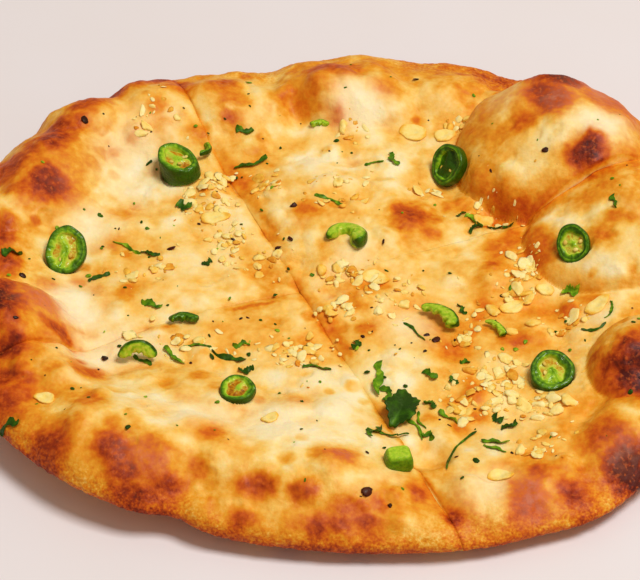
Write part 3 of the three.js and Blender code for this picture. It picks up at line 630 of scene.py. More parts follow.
# Small pieces: colours by tint, roughness, coat, light inside, size of the mottle, gloss, its tint
smallLooks = {
    "fried garlic": (
        [(0.0, (255, 237, 166)), (0.35, (255, 223, 126)),
         (0.65, (248, 192, 68)), (0.95, (224, 138, 24))],
        0.5, 0.06, 0.15, 2.0, 0.2, (1.0, 0.9, 0.7, 1)),
    "coriander": (
        [(0.0, (30, 62, 2)), (0.4, (54, 98, 4)), (0.75, (104, 150, 12)), (1.0, (166, 196, 40))],
        0.5, 0.05, 0.1, 1.2, 0.25, (0.8, 1.0, 0.4, 1)),
    "charred flecks": (
        [(0.0, (36, 10, 2)), (0.5, (78, 24, 4)), (1.0, (150, 60, 8))],
        0.5, 0.1, 0.0, 1.0, 0.25, (1.0, 0.8, 0.6, 1)),
    "chilli seeds": (
        [(0.0, (244, 226, 128)), (1.0, (216, 178, 64))],
        0.35, 0.1, 0.2, 0.8, 0.3, (1.0, 1.0, 0.8, 1)),
}
smallShared = {
    "detail": 4.0, "mottleShare": 0.16, "roughSpread": 0.1,
    "reliefSize": 0.6, "pits": 0.3, "bump": (0.3, 0.0002),
    "shader": {
        "Subsurface Radius": (1.0, 0.7, 0.35), "Subsurface Scale": 0.0008, "Coat Roughness": 0.2,
    },
}


# A soft plant or crumb finish: the tint attribute + mottle picks between a few colours
def tintMaterial(name, stops, roughness, coat, subsurface, size, gloss, glossTint):
    look = smallShared
    material, tree, shader, coordinates = newMaterial(name)
    fine = mottleOf(tree, coordinates, size, look["detail"])
    total = calculate(tree, "MULTIPLY_ADD", fine, look["mottleShare"], attributeOf(tree, "tint"))
    spread = look["roughSpread"]
    height = reliefOf(tree, coordinates, size * look["reliefSize"], look["pits"])
    setInputs(tree, shader, {
        "Base Color": colourRamp(tree, total, stops),
        "Roughness": stretched(tree, fine, -1.0, 1.0, roughness - spread, roughness + spread),
        "Normal": bumpFrom(tree, height, *look["bump"]), **look["shader"],
        "Subsurface Weight": subsurface, "Coat Weight": coat,
        "Specular IOR Level": gloss, "Specular Tint": glossTint})
    return material


crustFinish = crustMaterial()
chilliFinish = chilliMaterial()
garlicFinish, corianderFinish, charFinish, seedFinish = (
    tintMaterial(name, *look) for name, look in smallLooks.items())
print("materials made")

# Toppings: where each lies, as the imported solids have it

# Whole slices, in the order of the keys. The shade darkens the face: painted shade for
# chilli_ring_shaded and chilli_ring_slope, which lie in the shade of the big bubbles, the pod's own
# darker green for the others
ringKeys = ("at", "radius", "thick", "lean", "toward", "raise", "chambers", "seeds", "hollow",
            "oval", "shade", "slant")
chilliRings = {name: dict(zip(ringKeys, row)) for name, *row in [
    ("chilli_thick_slice", (-44.5, 60), 7.2, 9, 12, 150, 3.2, (20, 140, 260), 6, 0.8,
     (1.05, 0.86, -30), -0.02, (0.42, -50)),
    ("chilli_ring_left", (-83, 15), 8.6, 3.4, 38, 275, 3.6, (250, 120), 2, 0.55,
     (1.04, 0.84, 80), -0.04),
    ("chilli_ring_shaded", (54.5, 62.5), 7.8, 4, 54, 215, 5, (60, 200, 310), 2, -0.6,
     (1.0, 0.92, 60), -0.26),
    ("chilli_ring_slope", (96, 10.5), 6.6, 3, 42, 240, 1.2, (), 3, 1.0, (1.08, 0.9, 90), -0.26),
    ("chilli_ring_right", (85.5, -44.5), 7.8, 3.6, 16, 275, 1.4, (250, 290), 3, 1.0,
     (1.03, 0.96, 60), -0.18),
    ("chilli_ring_front", (-20.5, -58), 6, 3.2, 6, 265, 1.1, (50,), 1, 0.8, (1.0, 0.94, 0), 0.02),
]}

# Curved bits of the pod wall
stripKeys = ("at", "bend", "wall", "thick", "sweep", "spin", "lean", "toward", "raise", "taper",
             "shade", "web")
chilliStrips = {name: dict(zip(stripKeys, row)) for name, *row in [
    ("chilli_hook", (16.5, 20.5), 7.6, 3.4, 4.2, 245, -60, 12, 85, 1.7, (1.3, 0.7), 0.0, 1.6),
    ("chilli_half_ring", (-55, -38), 7.2, 3.2, 3.4, 165, 8, 62, 268, 1.6, (0.6, 0.6), 0.02, 2.6),
    ("chilli_thin_slice", (-39.5, 73), 6.6, 2, 3, 115, -70, 20, 60, 1.1, (0.5, 0.8), -0.2, 0.4),
    ("chilli_strip_middle", (44, -23), 11.5, 4.8, 3.8, 100, 0, 14, 210, 1.2, (0.9, 0.4), 0.0, 0.4),
    ("chilli_strip_small", (64, -26), 7.5, 2.6, 2.6, 88, 2, 10, 230, 0.9, (0.9, 0.35), 0.0, 0.4),
    ("chilli_dark_strip", (-40, -24), 8.5, 3, 3.2, 84, 48, 8, 260, 1, (0.8, 0.6), -0.36, 0.4),
    ("chilli_back_strip", (7, 85.5), 6.4, 2.4, 2.6, 80, 50, 8, 260, 0.9, (0.7, 0.7), -0.05, 0.4),
]}

chilliEnd = {"at": (32.5, -91), "length": 9.4, "width": 7.6, "height": 7.4, "turn": 12, "raise": 1.9}

leaf = {"at": (34.5, -62), "long": 7.6, "wide": 5.4, "turn": 62, "thick": 0.7, "lobes": 5,
        "lobeDepth": 0.16, "wave": 0.9, "raise": 2.2, "grid": (30, 90), "folded": (0.5, 0.16),
        "veinRise": 0.18, "veinWidth": 40, "teeth": 0.05}


# Rotation by the turn about the upright axis, then by the lean towards a direction
def seatTurn(item):
    toward, lean = item.get("toward", 0) * degree, item.get("lean", 0) * degree
    turn = item.get("turn", 0) * degree
    x, y = -math.sin(toward), math.cos(toward)
    c, s = math.cos(lean), math.sin(lean)
    tilt = np.array([[c + x * x * (1 - c), x * y * (1 - c), y * s],
                     [x * y * (1 - c), c + y * y * (1 - c), -x * s],
                     [-y * s, x * s, c]])
    spin = np.array([[math.cos(turn), -math.sin(turn), 0],
                     [math.sin(turn), math.cos(turn), 0],
                     [0, 0, 1]])
    return tilt @ spin


def seatPlace(item):
    x, y = item["at"]
    return np.array([x, y, float(surfaceAt(x, y)) + item["raise"]])


def seated(points, item):
    return points @ seatTurn(item).T + seatPlace(item)


def chilliFootprints():
    prints = [(*item["at"], item["radius"]) for item in chilliRings.values()]
    for strip in chilliStrips.values():
        middle = (strip["spin"] + strip["sweep"] / 2) * degree
        shift = strip["bend"] * 0.6 if strip["sweep"] < 200 else 0
        radius = strip["bend"] * (0.75 if strip["sweep"] < 120 else 1)
        x, y = strip["at"]
        prints.append((x + shift * math.cos(middle), y + shift * math.sin(middle), radius))
    prints.append((*chilliEnd["at"], chilliEnd["length"] * 0.62))
    prints.append((*leaf["at"], leaf["long"]))
    return prints


pressLook = {"room": 0.15, "halfRoom": 0.1, "above": 1.0, "leastLean": 0.5, "crustFrom": 4}


# How far down a leaning disc presses the bread: its lower side, where a point lies inside it
def pressSeats(points):
    look = pressLook
    z = points[:, 2]
    for item in chilliRings.values():
        place = seatPlace(item)
        lean = max(item["lean"], look["leastLean"]) * degree
        along, aside = turned(points[:, 0] - place[0], points[:, 1] - place[1], -item["toward"])
        radius, half = item["radius"] + look["room"], item["thick"] / 2 + look["halfRoom"]
        chord = np.sqrt(np.maximum(0, radius ** 2 - aside ** 2))
        sine, cosine = math.sin(lean), math.cos(lean)
        low = np.maximum((-half - along * sine) / cosine, (along * cosine - chord) / sine)
        high = np.minimum((half - along * sine) / cosine, (along * cosine + chord) / sine)
        up = z - place[2]
        inside = (chord > 0) & (up > low) & (up < high + look["above"]) & (z > look["crustFrom"])
        z = np.where(inside, place[2] + low, z)
    return np.column_stack([points[:, :2], z])


# The slices

sliceLook = {
    "rings": 230,
    "columns": 280,
    "rimCrowding": 0.7,  # how much the rings crowd towards the rim
    "wallRows": 5,
    "underSteps": (12, 4), "underRim": 0.93,  # the underside keeps every 12th ring, then every 4th
    "gapShare": 0.08,  # the cuts are nearly closed again
    "sunkWidth": 2.8, "sunkDepth": 1.1,
    "warp": 1.2, "warpSize": 7,
    "lumps": [(21, 0.9, 41), (11, 0.75, 31), (5.5, 0.32, 25), (2.4, 0.05, 22)],  # size, height, seed
    "rimLumps": 0.7, "rimLumpsFrom": (0.68, 0.85),  # how much stronger the lumps are on the rim
    "blister": (14, 0.45, 11), "blisterHeight": 1.3, "blisterPower": 1.3,  # size, chance, seed
    "pimple": (5, 0.25, 12), "pimpleHeight": 0.28,
    "pit": (8, 0.22, 13), "pitDepth": 0.45,
    "seatShare": 0.8, "seatFade": 6,  # the crust is smooth under the chilli
    "grain": (1.4, 40), "grainHeight": 0.28, "grainBand": 9, "grainFrom": (0.82, 0.94),
    "grainSmooths": 0.6,
    "crumb": (2.2, 41), "crumbDepth": 0.12,
    "reliefSlope": (0.2, 0.6),  # no relief on the steepest sides
    "cornerTo": 0.02, "plainTo": 0.985, "edgeFrom": 0.999,  # shares of the reach
}

# Browned places, some of them painted shade beside the cuts and in the creases of the big bubbles: x,
# y, half length, half width, turn, toast
toastAndShadeSpots = [
    (-94, 52, 20, 26, 0, 0.44), (-91, 44, 9, 9, 0, 0.82), (-91, 65, 8, 7, 30, 0.8),
    (-106, 52, 10, 10, 50, 0.64), (-103, 40, 6, 5, 0, 0.5), (-77, 98, 17, 7, 38, 0.7),
    (-58, 108, 12, 6, 18, 0.64), (-46, 104, 9, 8, 0, 0.46), (-54, 90, 4, 4, 0, 0.42),
    (-62, 75, 3, 3, 0, 0.4), (-69, 69, 3, 3, 0, 0.4), (-64, 40, 4, 6, 0, 0.34),
    (-105, 20, 6, 8, 0, 0.64), (-30, 103, 7, 8, 0, 0.5), (-26, 88, 5, 3.5, 0, 0.52),
    (11, 112, 12, 7, 0, 0.58), (3, 104, 14, 12, 0, 0.36), (0, 98, 6, 6, 0, 0.42),
    (33, 103, 8, 5, 0, 0.4), (14, 92, 3, 4, 0, 0.44), (2, 38, 5, 5, 0, 0.46),
    (40, 35, 10, 10, 0, 0.68), (46, 28, 5, 5, 0, 0.5),
    (91, 76, 9, 12, 20, 0.78), (95, 88, 14, 8, -10, 0.84), (103, 49, 9, 7, 20, 0.94),
    (81, 67, 6, 6, 0, 0.56), (112, 80, 16, 12, -50, 0.52), (105, 32, 11, 7, 0, 0.36),
    (111, 18, 5, 4, 0, 0.44), (-104, -26, 13, 15, 0, 0.94), (-88, -20, 7, 8, 0, 0.5),
    (-82, -31, 7, 4, -20, 0.64), (-98, -44, 7, 5, 0, 0.72), (-97, -55, 7, 6, 0, 0.6),
    (-97, -66, 7, 6, 0, 0.64), (-70, -48, 7, 4, 20, 0.5), (-61, -3, 4, 6, 0, 0.44),
    (-68, -70, 5, 6, 0, 0.47), (-28, -83, 5, 5, 0, 0.54), (-81, -87, 9, 8, -30, 0.7),
    (-59, -92, 8, 6, -10, 0.74), (-56, -99, 6, 4, -10, 0.68), (-42, -102, 7, 4, 0, 0.62),
    (-52, -105, 10, 3, -10, 0.62), (-33, -97, 4, 4, 0, 0.5), (-51, -95, 14, 8, 0, 0.46),
    (-13, -104, 8, 5, -8, 0.7), (1, -107, 6, 4, 0, 0.6), (14, -93, 6, 5, 0, 0.62),
    (18, -111, 9, 4, 0, 0.52), (22, -115, 5, 3, 0, 0.62), (-18, -114, 5, 3, 0, 0.6),
    (39, -103, 4, 4, 0, 0.57), (50, -112, 4, 4, 0, 0.64), (73, -105, 7, 9, 20, 0.62),
    (89, -103, 5, 6, 30, 0.66), (77, -95, 4, 5, 0, 0.57), (107, -91, 10, 8, 45, 0.97),
    (99, -80, 9, 7, 0, 0.48), (114, -53, 12, 15, -10, 0.92), (103, -77, 6, 6, 0, 0.52),
    (68, 10, 4, 4, 0, 0.52), (75, -27, 6, 4.5, 0, 0.52), (93, -13, 4, 4, 0, 0.5),
    (23, -22, 4, 4, 0, 0.52), (20, -10, 3, 3, 0, 0.44), (-1, -60, 5, 4, 0, 0.38),
    (26, 2, 7, 4, 0, 0.42), (59, -53, 4, 6, 0, 0.46), (60, -63, 4, 4, 0, 0.44),
    (64, -9, 4, 5, 0, 0.4), (53, -69, 4, 4, 0, 0.46), (26, -110, 4, 4, 0, 0.52),
    (10, -116, 12, 4, 0, 0.52), (-104, 57, 6, 5, 0, 0.62), (-97, 60, 6, 6, 0, 0.6),
    (-90, 67, 6, 5, 0, 0.6), (-83, 76, 7, 5, 30, 0.62), (-103, 7, 6, 8, 0, 0.62),
    # Painted shade: the spots at x 65 to 88 on this line and the next darken the crease between the two
    # big bubbles on the right
    (65, 37, 8, 4, 0, 0.44), (72, 38, 6, 4, 0, 0.46), (81, 37, 6, 4, 0, 0.46),
    (88, 38, 7, 4, 0, 0.42), (70, 20, 5, 8, 0, 0.46), (107, 46, 8, 6, 0, 0.5),
    (105, 13, 7, 6, 0, 0.46), (-66, 24, 5, 6, 0, 0.36), (-88, -1, 5, 5, 0, 0.42),
    (-92, -62, 6, 8, 0, 0.55), (101, -10, 5, 4, 0, 0.44), (-38, 81, 5, 4, 0, 0.4),
    # Painted shade: the last, long and narrow spot on this line darkens the groove of the left cut near
    # the crossing
    (-27, 96, 8, 5, 0, 0.44), (15, 109, 9, 5, 0, 0.46), (-17, -8, 11, 1.2, 14, 0.44),
    # Painted shade: the first two spots on this line darken the side of the right bubble in the shade
    # of the big back bubble
    (84, 16, 7, 10, 0, 0.5), (77, 26, 6, 8, 0, 0.5), (58, 44, 8, 6, 0, 0.42),
    # Painted shade: the first two spots on this line are shade bands along the right side of two cuts
    (-19, 51, 42, 2.4, 113.5, 0.36), (12.5, -22, 22, 2, -66.5, 0.38), (-89, 75, 10, 6, 40, 0.72),
    # Painted shade: the last two spots on this line darken the foot of the big back bubble
    (-80, 87, 9, 5, 35, 0.6), (66, 51, 8, 7, 0, 0.36), (72, 43, 7, 5, 0, 0.4),
    (86, 12, 6, 5, 0, 0.48), (-97, 41, 8, 7, 0, 0.6),
]

# Pinkish bloom over browned blisters, then pale places, partly dough that stayed pale and partly
# painted highlight, in the same way
bloomSpots = [
    (-85, 47, 3, 5, 0, 0.2), (76, 82, 8, 6, 0, 0.5), (95, 74, 6, 7, 0, 0.6),
    (112, 84, 16, 10, -50, 0.55), (-87, -19, 7, 7, 0, 0.8), (75, -104, 4, 7, 20, 0.8),
    (105, -86, 7, 4, 40, 0.4), (14, -93, 4, 3, 0, 0.5), (-52, -93, 5, 2, -25, 0.5),
]
paleAndHighlightSpots = [
    (22, 95, 10, 7, 0, 0.9), (108, 60, 9, 7, 0, 1.0), (-60, 58, 14, 14, 0, 0.5),
    (-80, -6, 8, 8, 0, 0.9), (-70, -36, 10, 8, 0, 0.8), (-5, -72, 20, 12, 0, 0.5),
    (62, -100, 8, 8, 0, 0.6), (38, -20, 8, 8, 0, 0.5), (-76, 30, 8, 10, 0, 0.6),
    (-78, -14, 9, 9, 0, 1.0), (-65, -30, 16, 10, 0, 0.7), (-62, 70, 12, 12, 0, 0.6),
    (-30, -70, 16, 8, 0, 0.5),
]
spotLook = {
    "halo": 5.0, "haloGrowth": 1.1, "haloShare": 0.5, "haloWobble": 0.6,
    "coreBand": (1.25, 0.25), "haloBand": (1.2, 0.3),
}


# Each spot is a soft core inside a wider halo; the strongest spot counts
def shadedSpots(points, spots, wobble):
    look, halo = spotLook, spotLook["halo"]
    x, y = points[:, 0], points[:, 1]
    total = np.zeros(len(points))
    for midX, midY, long, wide, turn, strength in spots:
        core = np.sqrt(ellipseSquare(x, y, (midX, midY, long, wide, turn))) + wobble
        long, wide = (look["haloGrowth"] * half + halo for half in (long, wide))
        far = np.sqrt(ellipseSquare(x, y, (midX, midY, long, wide, turn)))
        outer = ramp(*look["haloBand"], far + look["haloWobble"] * wobble)
        inner = ramp(*look["coreBand"], core)
        shade = (1 - look["haloShare"]) * inner + look["haloShare"] * outer
        total = np.maximum(total, strength * shade)
    return total


def cornerOf(start, end, endAngle, gapShare):
    a, b = start[0] * degree, endAngle * degree
    spread = math.sin(b - a)
    x = gapShare * (math.cos(b) * start[1] + math.cos(a) * end[1]) / 2 / spread
    y = gapShare * (math.sin(b) * start[1] + math.sin(a) * end[1]) / 2 / spread
    return x, y


# Rings of points out from the inner corner, each ring running from one cut to the other
def slicePlan(index):
    look = sliceLook
    start, end = cuts[index], cuts[(index + 1) % len(cuts)]
    endAngle = end[0] + (360 if index == len(cuts) - 1 else 0)
    cornerX, cornerY = cornerOf(start, end, endAngle, look["gapShare"])
    first = start[0] + math.asin(look["gapShare"] * start[1] / 2 / reach(start[0])) / degree
    last = endAngle - math.asin(look["gapShare"] * end[1] / 2 / reach(endAngle)) / degree
    t = np.linspace(0, 1, look["rings"] + 1)
    crowd = look["rimCrowding"]
    share, angle = np.meshgrid((1 - crowd) * t + crowd * np.sin(math.pi / 2 * t),
                               np.linspace(first, last, look["columns"] + 1), indexing="ij")
    radius = reach(angle)
    x = cornerX + (radius * np.cos(angle * degree) - cornerX) * share
    y = cornerY + (radius * np.sin(angle * degree) - cornerY) * share
    x, y = turned(x, y, bowTurn(share, angle))
    toStart = np.abs(radius * share * np.sin((angle - start[0]) * degree))
    toEnd = np.abs(radius * share * np.sin((endAngle - angle) * degree))
    width = look["sunkWidth"]
    sunk = look["sunkDepth"] * (start[2] * np.exp(-toStart / width) + end[2] * np.exp(-toEnd / width))
    return share, angle, x, y, sunk, toStart, toEnd


# Upper side, underside with fewer rings, and the two cut walls, as one closed mesh. The values keep
# which of the three a point is on, its share of the reach and how the plain upper side faces.
def sliceSurface(index):
    share, angle, x, y, sunk, toStart, toEnd = slicePlan(index)
    rings, columns = share.shape
    fade = roundedOff(share, bread["topRound"])
    topZ = metHeight(x, y, share, angle, index, toStart, toEnd) - sunk * fade
    top = np.stack([x, y, topZ], -1)
    low = np.stack([x, y, undersideHeight(share, angle)], -1)
    parts, triangles, kinds, shares = [top.reshape(-1, 3)], [gridTriangles(rings, columns)], [], []
    kinds.append(np.zeros(rings * columns))
    shares.append(share.ravel())
    count = rings * columns

    coarse = share[:, 0] < bread["restShare"]
    middling = (share[:, 0] < sliceLook["underRim"]) & ~coarse
    numbers = np.arange(rings)
    wideStep, midStep = sliceLook["underSteps"]
    chosen = np.where(coarse, numbers % wideStep == 0, ~middling | (numbers % midStep == 0))
    chosen[[0, -1]] = True
    kept = numbers[chosen]
    inner = low[kept][:, 1:-1]
    parts.append(inner.reshape(-1, 3))
    kinds.append(np.ones(inner[..., 0].size))
    shares.append(share[kept][:, 1:-1].ravel())
    innerColumns = columns - 2
    triangles.append(gridTriangles(len(kept), innerColumns, flip=True, first=count))
    innerFirst = count
    count += inner[..., 0].size

    rows = sliceLook["wallRows"]
    down = np.linspace(0, 1, rows + 1)[None, :, None]
    for column, isStart in ((0, True), (columns - 1, False)):
        wall = top[:, column][:, None] * (1 - down) + low[:, column][:, None] * down
        parts.append(wall.reshape(-1, 3))
        kinds.append(np.full(wall[..., 0].size, 2.0))
        shares.append(np.repeat(share[:, column], rows + 1))
        triangles.append(gridTriangles(rings, rows + 1, flip=isStart, first=count))
        foot = count + np.arange(rings) * (rows + 1) + rows
        apex = innerFirst + np.arange(len(kept)) * innerColumns + (0 if isStart else innerColumns - 1)
        cell = np.searchsorted(kept, np.arange(rings - 1), side="right")
        strip = np.stack([foot[:-1], apex[cell], foot[1:]], 1)
        step = np.stack([foot[kept[:-1]], apex[:-1], apex[1:]], 1)
        triangles += [strip, step] if isStart else [strip[:, ::-1], step[:, ::-1]]
        count += wall[..., 0].size

    values = {"kind": np.concatenate(kinds), "share": np.concatenate(shares)}
    facing = np.cross(np.gradient(top, axis=0), np.gradient(top, axis=1)).reshape(-1, 3)
    facing = facing / np.maximum(np.linalg.norm(facing, axis=1), 1e-9)[:, None]
    facing[share.ravel() < sliceLook["cornerTo"]] = (0, 0, 1)
    values["facing"] = np.concatenate([facing, np.zeros((count - len(facing), 3))])
    return weld(np.concatenate(parts), np.concatenate(triangles), values)


# Soft lumps, stronger on the rim, + blisters + pimples - pits, faded out under the chilli
def crustRelief(points):
    look = sliceLook
    x, y = points[:, 0], points[:, 1]
    warpX, warpY = (look["warp"] * softNoise(points, look["warpSize"], seed) for seed in (5, 6))
    blister = spotField(x + warpX, y + warpY, *look["blister"])
    pimple = spotField(x + warpX, y + warpY, *look["pimple"])
    pit = spotField(x + warpY, y + warpX, *look["pit"])
    share = np.hypot(x, y) / reach(np.arctan2(y, x) / degree)
    onRim = ramp(*look["rimLumpsFrom"], share) * ramp(1, 0.96, share)
    soft = noiseSum(points, look["lumps"]) * (1 + look["rimLumps"] * onRim)
    soft = soft + look["blisterHeight"] * blister ** look["blisterPower"]
    soft = soft + look["pimpleHeight"] * pimple - look["pitDepth"] * ramp(0, 0.8, pit)
    for midX, midY, radius in chilliFootprints():
        edge = look["seatShare"] * radius
        soft = soft * ramp(edge, edge + look["seatFade"], np.hypot(x - midX, y - midY))
    return soft, blister


# Height of the finished crust at a place in plan
def groundAt(x, y):
    x, y = np.asarray(x, float), np.asarray(y, float)
    z = surfaceAt(x, y)
    soft, _ = crustRelief(np.stack([x.ravel(), y.ravel(), z.ravel()], 1))
    return z + soft.reshape(z.shape)


# The soft relief on top, grain on the lower rim and crumb on the cut walls
def sliceRelief(points, values):
    look, share, z = sliceLook, values["share"], points[:, 2]
    angle = np.arctan2(points[:, 1], points[:, 0]) / degree
    onTop, onWall = values["kind"] == 0, values["kind"] == 2
    soft, blister = crustRelief(points)
    aboveEdge = z - edgeHeight(angle)
    grain = ramp(*look["grainFrom"], share) * ramp(look["grainBand"], 0, aboveEdge)
    grainy = look["grainHeight"] * softNoise(points, *look["grain"]) * grain
    crumb = look["crumbDepth"] * softNoise(points, *look["crumb"])
    shift = np.where(onTop, soft * (1 - look["grainSmooths"] * grain) + grainy, grainy)
    shift = np.where(onWall, np.minimum(0, crumb * ramp(0, 2, z)), shift)
    shift = np.where(share > look["edgeFrom"], grainy, shift)
    return shift, blister, grain, onTop, onWall, aboveEdge


# How strong each part of the tone is. Noise has a size, a strength and a seed.
toneLook = {
    "wobble": [(5, 0.22, 50), (2, 0.14, 51)],
    "base": 0.15, "clouds": [(24, 0.14, 52), (9, 0.12, 53), (4, 0.1, 60)],
    "rim": 0.15, "rimFrom": (0.7, 0.9),
    "dabs": 0.2, "dab": (8, 0.35, 63), "dabDrift": 2,  # size, chance and seed of a dab
    "cutShadeWidth": 1.3, "blisterTips": 0.2, "steepSideShade": 0.2, "steepBand": (0.06, 0.4),
    "raised": 0.09, "raisedLimit": 1.3,
    "heaps": 0.03, "heapGrowth": 4, "paleAndHighlightPlaces": 0.16,
    "band": 0.4, "bandHeight": 11, "bandClouds": 0.13, "bandFoot": 0.2, "bandGrain": 0.1,
    "under": 0.48, "underClouds": [(14, 0.16, 55), (5, 0.12, 56)],
    "underSpots": 0.3, "underSpot": (16, 0.5, 57),
    "crumb": 0.05, "crumbFoot": 0.5,
    "butterPatches": 0.6, "paleAndHighlightPatches": 0.35, "paleClouds": [(17, 1, 61), (5, 0.35, 62)],
}


# Base + clouds + rim + dabs + painted shade along the cuts + blister tips + painted shade on steep
# sides - raised places (painted shade in the hollows) + garlic heaps - pale places (pale dough and
# painted highlight). Named spots (browning, some of them painted shade) and the browner lower rim are
# added as a root of squares, and the underside and the cut walls have tones of their own.
def sliceTones(points, values, shift, blister, grain, onTop, onWall, aboveEdge):
    look, share = toneLook, values["share"]
    x, y, z = points.T
    wobble = noiseSum(points, look["wobble"])
    tone = look["base"] + noiseSum(points, look["clouds"]) + look["rim"] * ramp(*look["rimFrom"], share)
    drift = look["dabDrift"] * wobble
    dabs = ramp(0.1, 0.9, spotField(x + drift, y - drift, *look["dab"]))
    tone = tone + look["dabs"] * dabs * ramp(-0.4, 0.7, softNoise(points, 15, 65))
    # Painted shade along the grooves of the cuts, as strong as each cut's last column
    for cut, away in zip(cuts, sliceAt(x, y)[1]):
        near = np.exp(-(away / look["cutShadeWidth"]) ** 2)
        tone = tone + cut[3] * near * (1 + softNoise(points, 6, 66))
    tone = tone + look["blisterTips"] * blister ** 2 * ramp(-0.2, 0.8, wobble * 3)
    # Painted shade: the tone is browner on the steep sides of the bubbles, away from the rim and the
    # pale places
    steep = np.where(onTop, 1 - values["facing"][:, 2], 0)
    paleAndHighlightPlaces = shadedSpots(points, paleAndHighlightSpots, wobble)
    sides = ramp(*look["steepBand"], steep) * ramp(0.9, 0.78, share) * (1 - paleAndHighlightPlaces)
    # Painted shade in the hollows between the lumps, with butter gathered there: low places browner,
    # raised places paler
    limit = look["raisedLimit"]
    raised = np.clip(shift, -limit, limit) * ramp(0.85, 0.65, share)
    tone = tone + look["steepSideShade"] * sides - look["raised"] * raised
    growth = look["heapGrowth"]
    heaps = sum(np.exp(-((x - midX) / (across + growth)) ** 2 - ((y - midY) / (along + growth)) ** 2)
                for midX, midY, across, along, *_ in garlicHeaps)
    tone = tone + look["heaps"] * np.clip(heaps, 0, 1) - look["paleAndHighlightPlaces"] * paleAndHighlightPlaces
    tone = np.hypot(np.maximum(tone, 0), shadedSpots(points, toastAndShadeSpots, wobble))
    band = ramp(look["bandHeight"], 0, aboveEdge) * ramp(0.8, 0.92, share)
    foot = look["bandFoot"] * band * ramp(3, -1, aboveEdge)
    band = band * (look["band"] + look["bandClouds"] * softNoise(points, 9, 54)) + foot
    band = band + look["bandGrain"] * grain * softNoise(points, 1.3, 59)
    tone = np.hypot(tone, np.maximum(band, 0))
    under = look["under"] + noiseSum(points, look["underClouds"])
    under = under + look["underSpots"] * spotField(x, y, *look["underSpot"])
    underShare = np.where(onTop | onWall, 0, ramp(1.0, 0.97, share))
    tone = tone * (1 - underShare) + under * underShare
    crumb = look["crumb"] * (1 + softNoise(points, 3, 58))
    tone = np.where(onWall, crumb + look["crumbFoot"] * ramp(2.5, 0, z), tone)
    buttered = look["butterPatches"] * ramp(0.0, 0.7, softNoise(points, 10, 64))
    # Pale patches on flat, lightly baked tops: partly pale dough, partly painted highlight where the
    # lamp is mirrored; with the pale places they make the pale attribute
    patches = look["paleAndHighlightPatches"] * ramp(0.35, 0.8, noiseSum(points, look["paleClouds"]))
    patches = patches * ramp(0.95, 0.75, share) * ramp(0.4, 0.15, tone) * ramp(0.2, 0.05, steep)
    return {"toastAndShade": tone, "bloom": shadedSpots(points, bloomSpots, wobble),
            "grain": np.clip(grain + underShare, 0, 1),
            "butter": np.clip(heaps + buttered, 0, 1) * onTop,
            "pale": np.maximum(paleAndHighlightPlaces, patches) * onTop * ramp(0.6, 0.25, tone)}


# Chopped garlic: x, y, half spread across and along, pieces, smallest and largest size
garlicHeaps = [
    (-34, 46, 8, 9, 6, 3, 5), (-30, 59, 5, 4, 2, 3, 5), (-26, 25, 8, 6, 4, 2.5, 4),
    (-13, 54, 6, 6, 3, 3, 5), (0, -32, 11, 8, 6, 2.5, 4.5), (16, 7, 9, 6, 4, 2.5, 4.5),
    (60, 88, 4, 4, 2, 3, 5), (50, 54, 6, 5, 2, 3, 4.5), (71, 39, 8, 7, 5, 3, 5.5),
    (80, 9, 5, 8, 5, 3, 5), (90, -18, 9, 6, 3, 3, 6), (67, -48, 11, 12, 10, 3, 6),
    (82, -59, 8, 8, 5, 3, 6), (56, -57, 7, 7, 3, 2.5, 4.5), (18, 90, 6, 7, 4, 3, 5),
    (-34, -26, 16, 8, 4, 2.5, 4), (-18, 14, 10, 7, 3, 2.5, 4), (-53, 8, 11, 7, 3, 2.5, 4),
    (-56, 84, 12, 8, 2, 2.5, 4), (59, -21, 11, 9, 5, 2.5, 5), (35, -6, 12, 13, 5, 2.5, 4.5),
    (79, -82, 8, 6, 3, 2.5, 5), (11, -12, 7, 8, 3, 2.5, 4), (77, -2, 6, 6, 3, 3, 5),
    (14, 48, 12, 10, 3, 2.5, 4),
]


easeRoom = 1.0  # how far inside the box its pull is felt


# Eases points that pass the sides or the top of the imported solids' box back inside it: what is past
# the start of the room becomes room * (1 - exp(-over / room))
def easeInside(points):
    low, high = (np.array(corner) / metre - crossing for corner in cadBox)
    for axis in range(3):
        for limit, side in ((high[axis], 1), (low[axis], -1)):
            if side > 0 or axis < 2:
                over = np.maximum(side * (points[:, axis] - limit) + easeRoom, 0)
                points[:, axis] -= side * (over - easeRoom * (1 - np.exp(-over / easeRoom)))
    return points


def makeSlice(index):
    name = sliceNames[index]
    points, triangles, values = sliceSurface(index)
    shift, blister, grain, onTop, onWall, aboveEdge = sliceRelief(points, values)
    normals = vertexNormals(points, triangles)
    plain = (values["kind"] == 0) & (values["share"] < sliceLook["plainTo"])
    normals = np.where(plain[:, None], values["facing"], normals)
    shift = shift * np.where(plain, ramp(*sliceLook["reliefSlope"], normals[:, 2]), 1)
    tones = sliceTones(points, values, shift, blister, grain, onTop, onWall, aboveEdge)
    points = points + normals * shift[:, None]
    points[:, 2] = np.maximum(points[:, 2], 0)
    points = easeInside(pressSeats(points))
    piece = makePiece(name.replace("slice", "crust"), points, triangles, crustFinish, tones)
    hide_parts(name)
    return len(triangles)


for index in range(len(sliceNames)):
    print(sliceNames[index], makeSlice(index), "triangles")


# Chilli

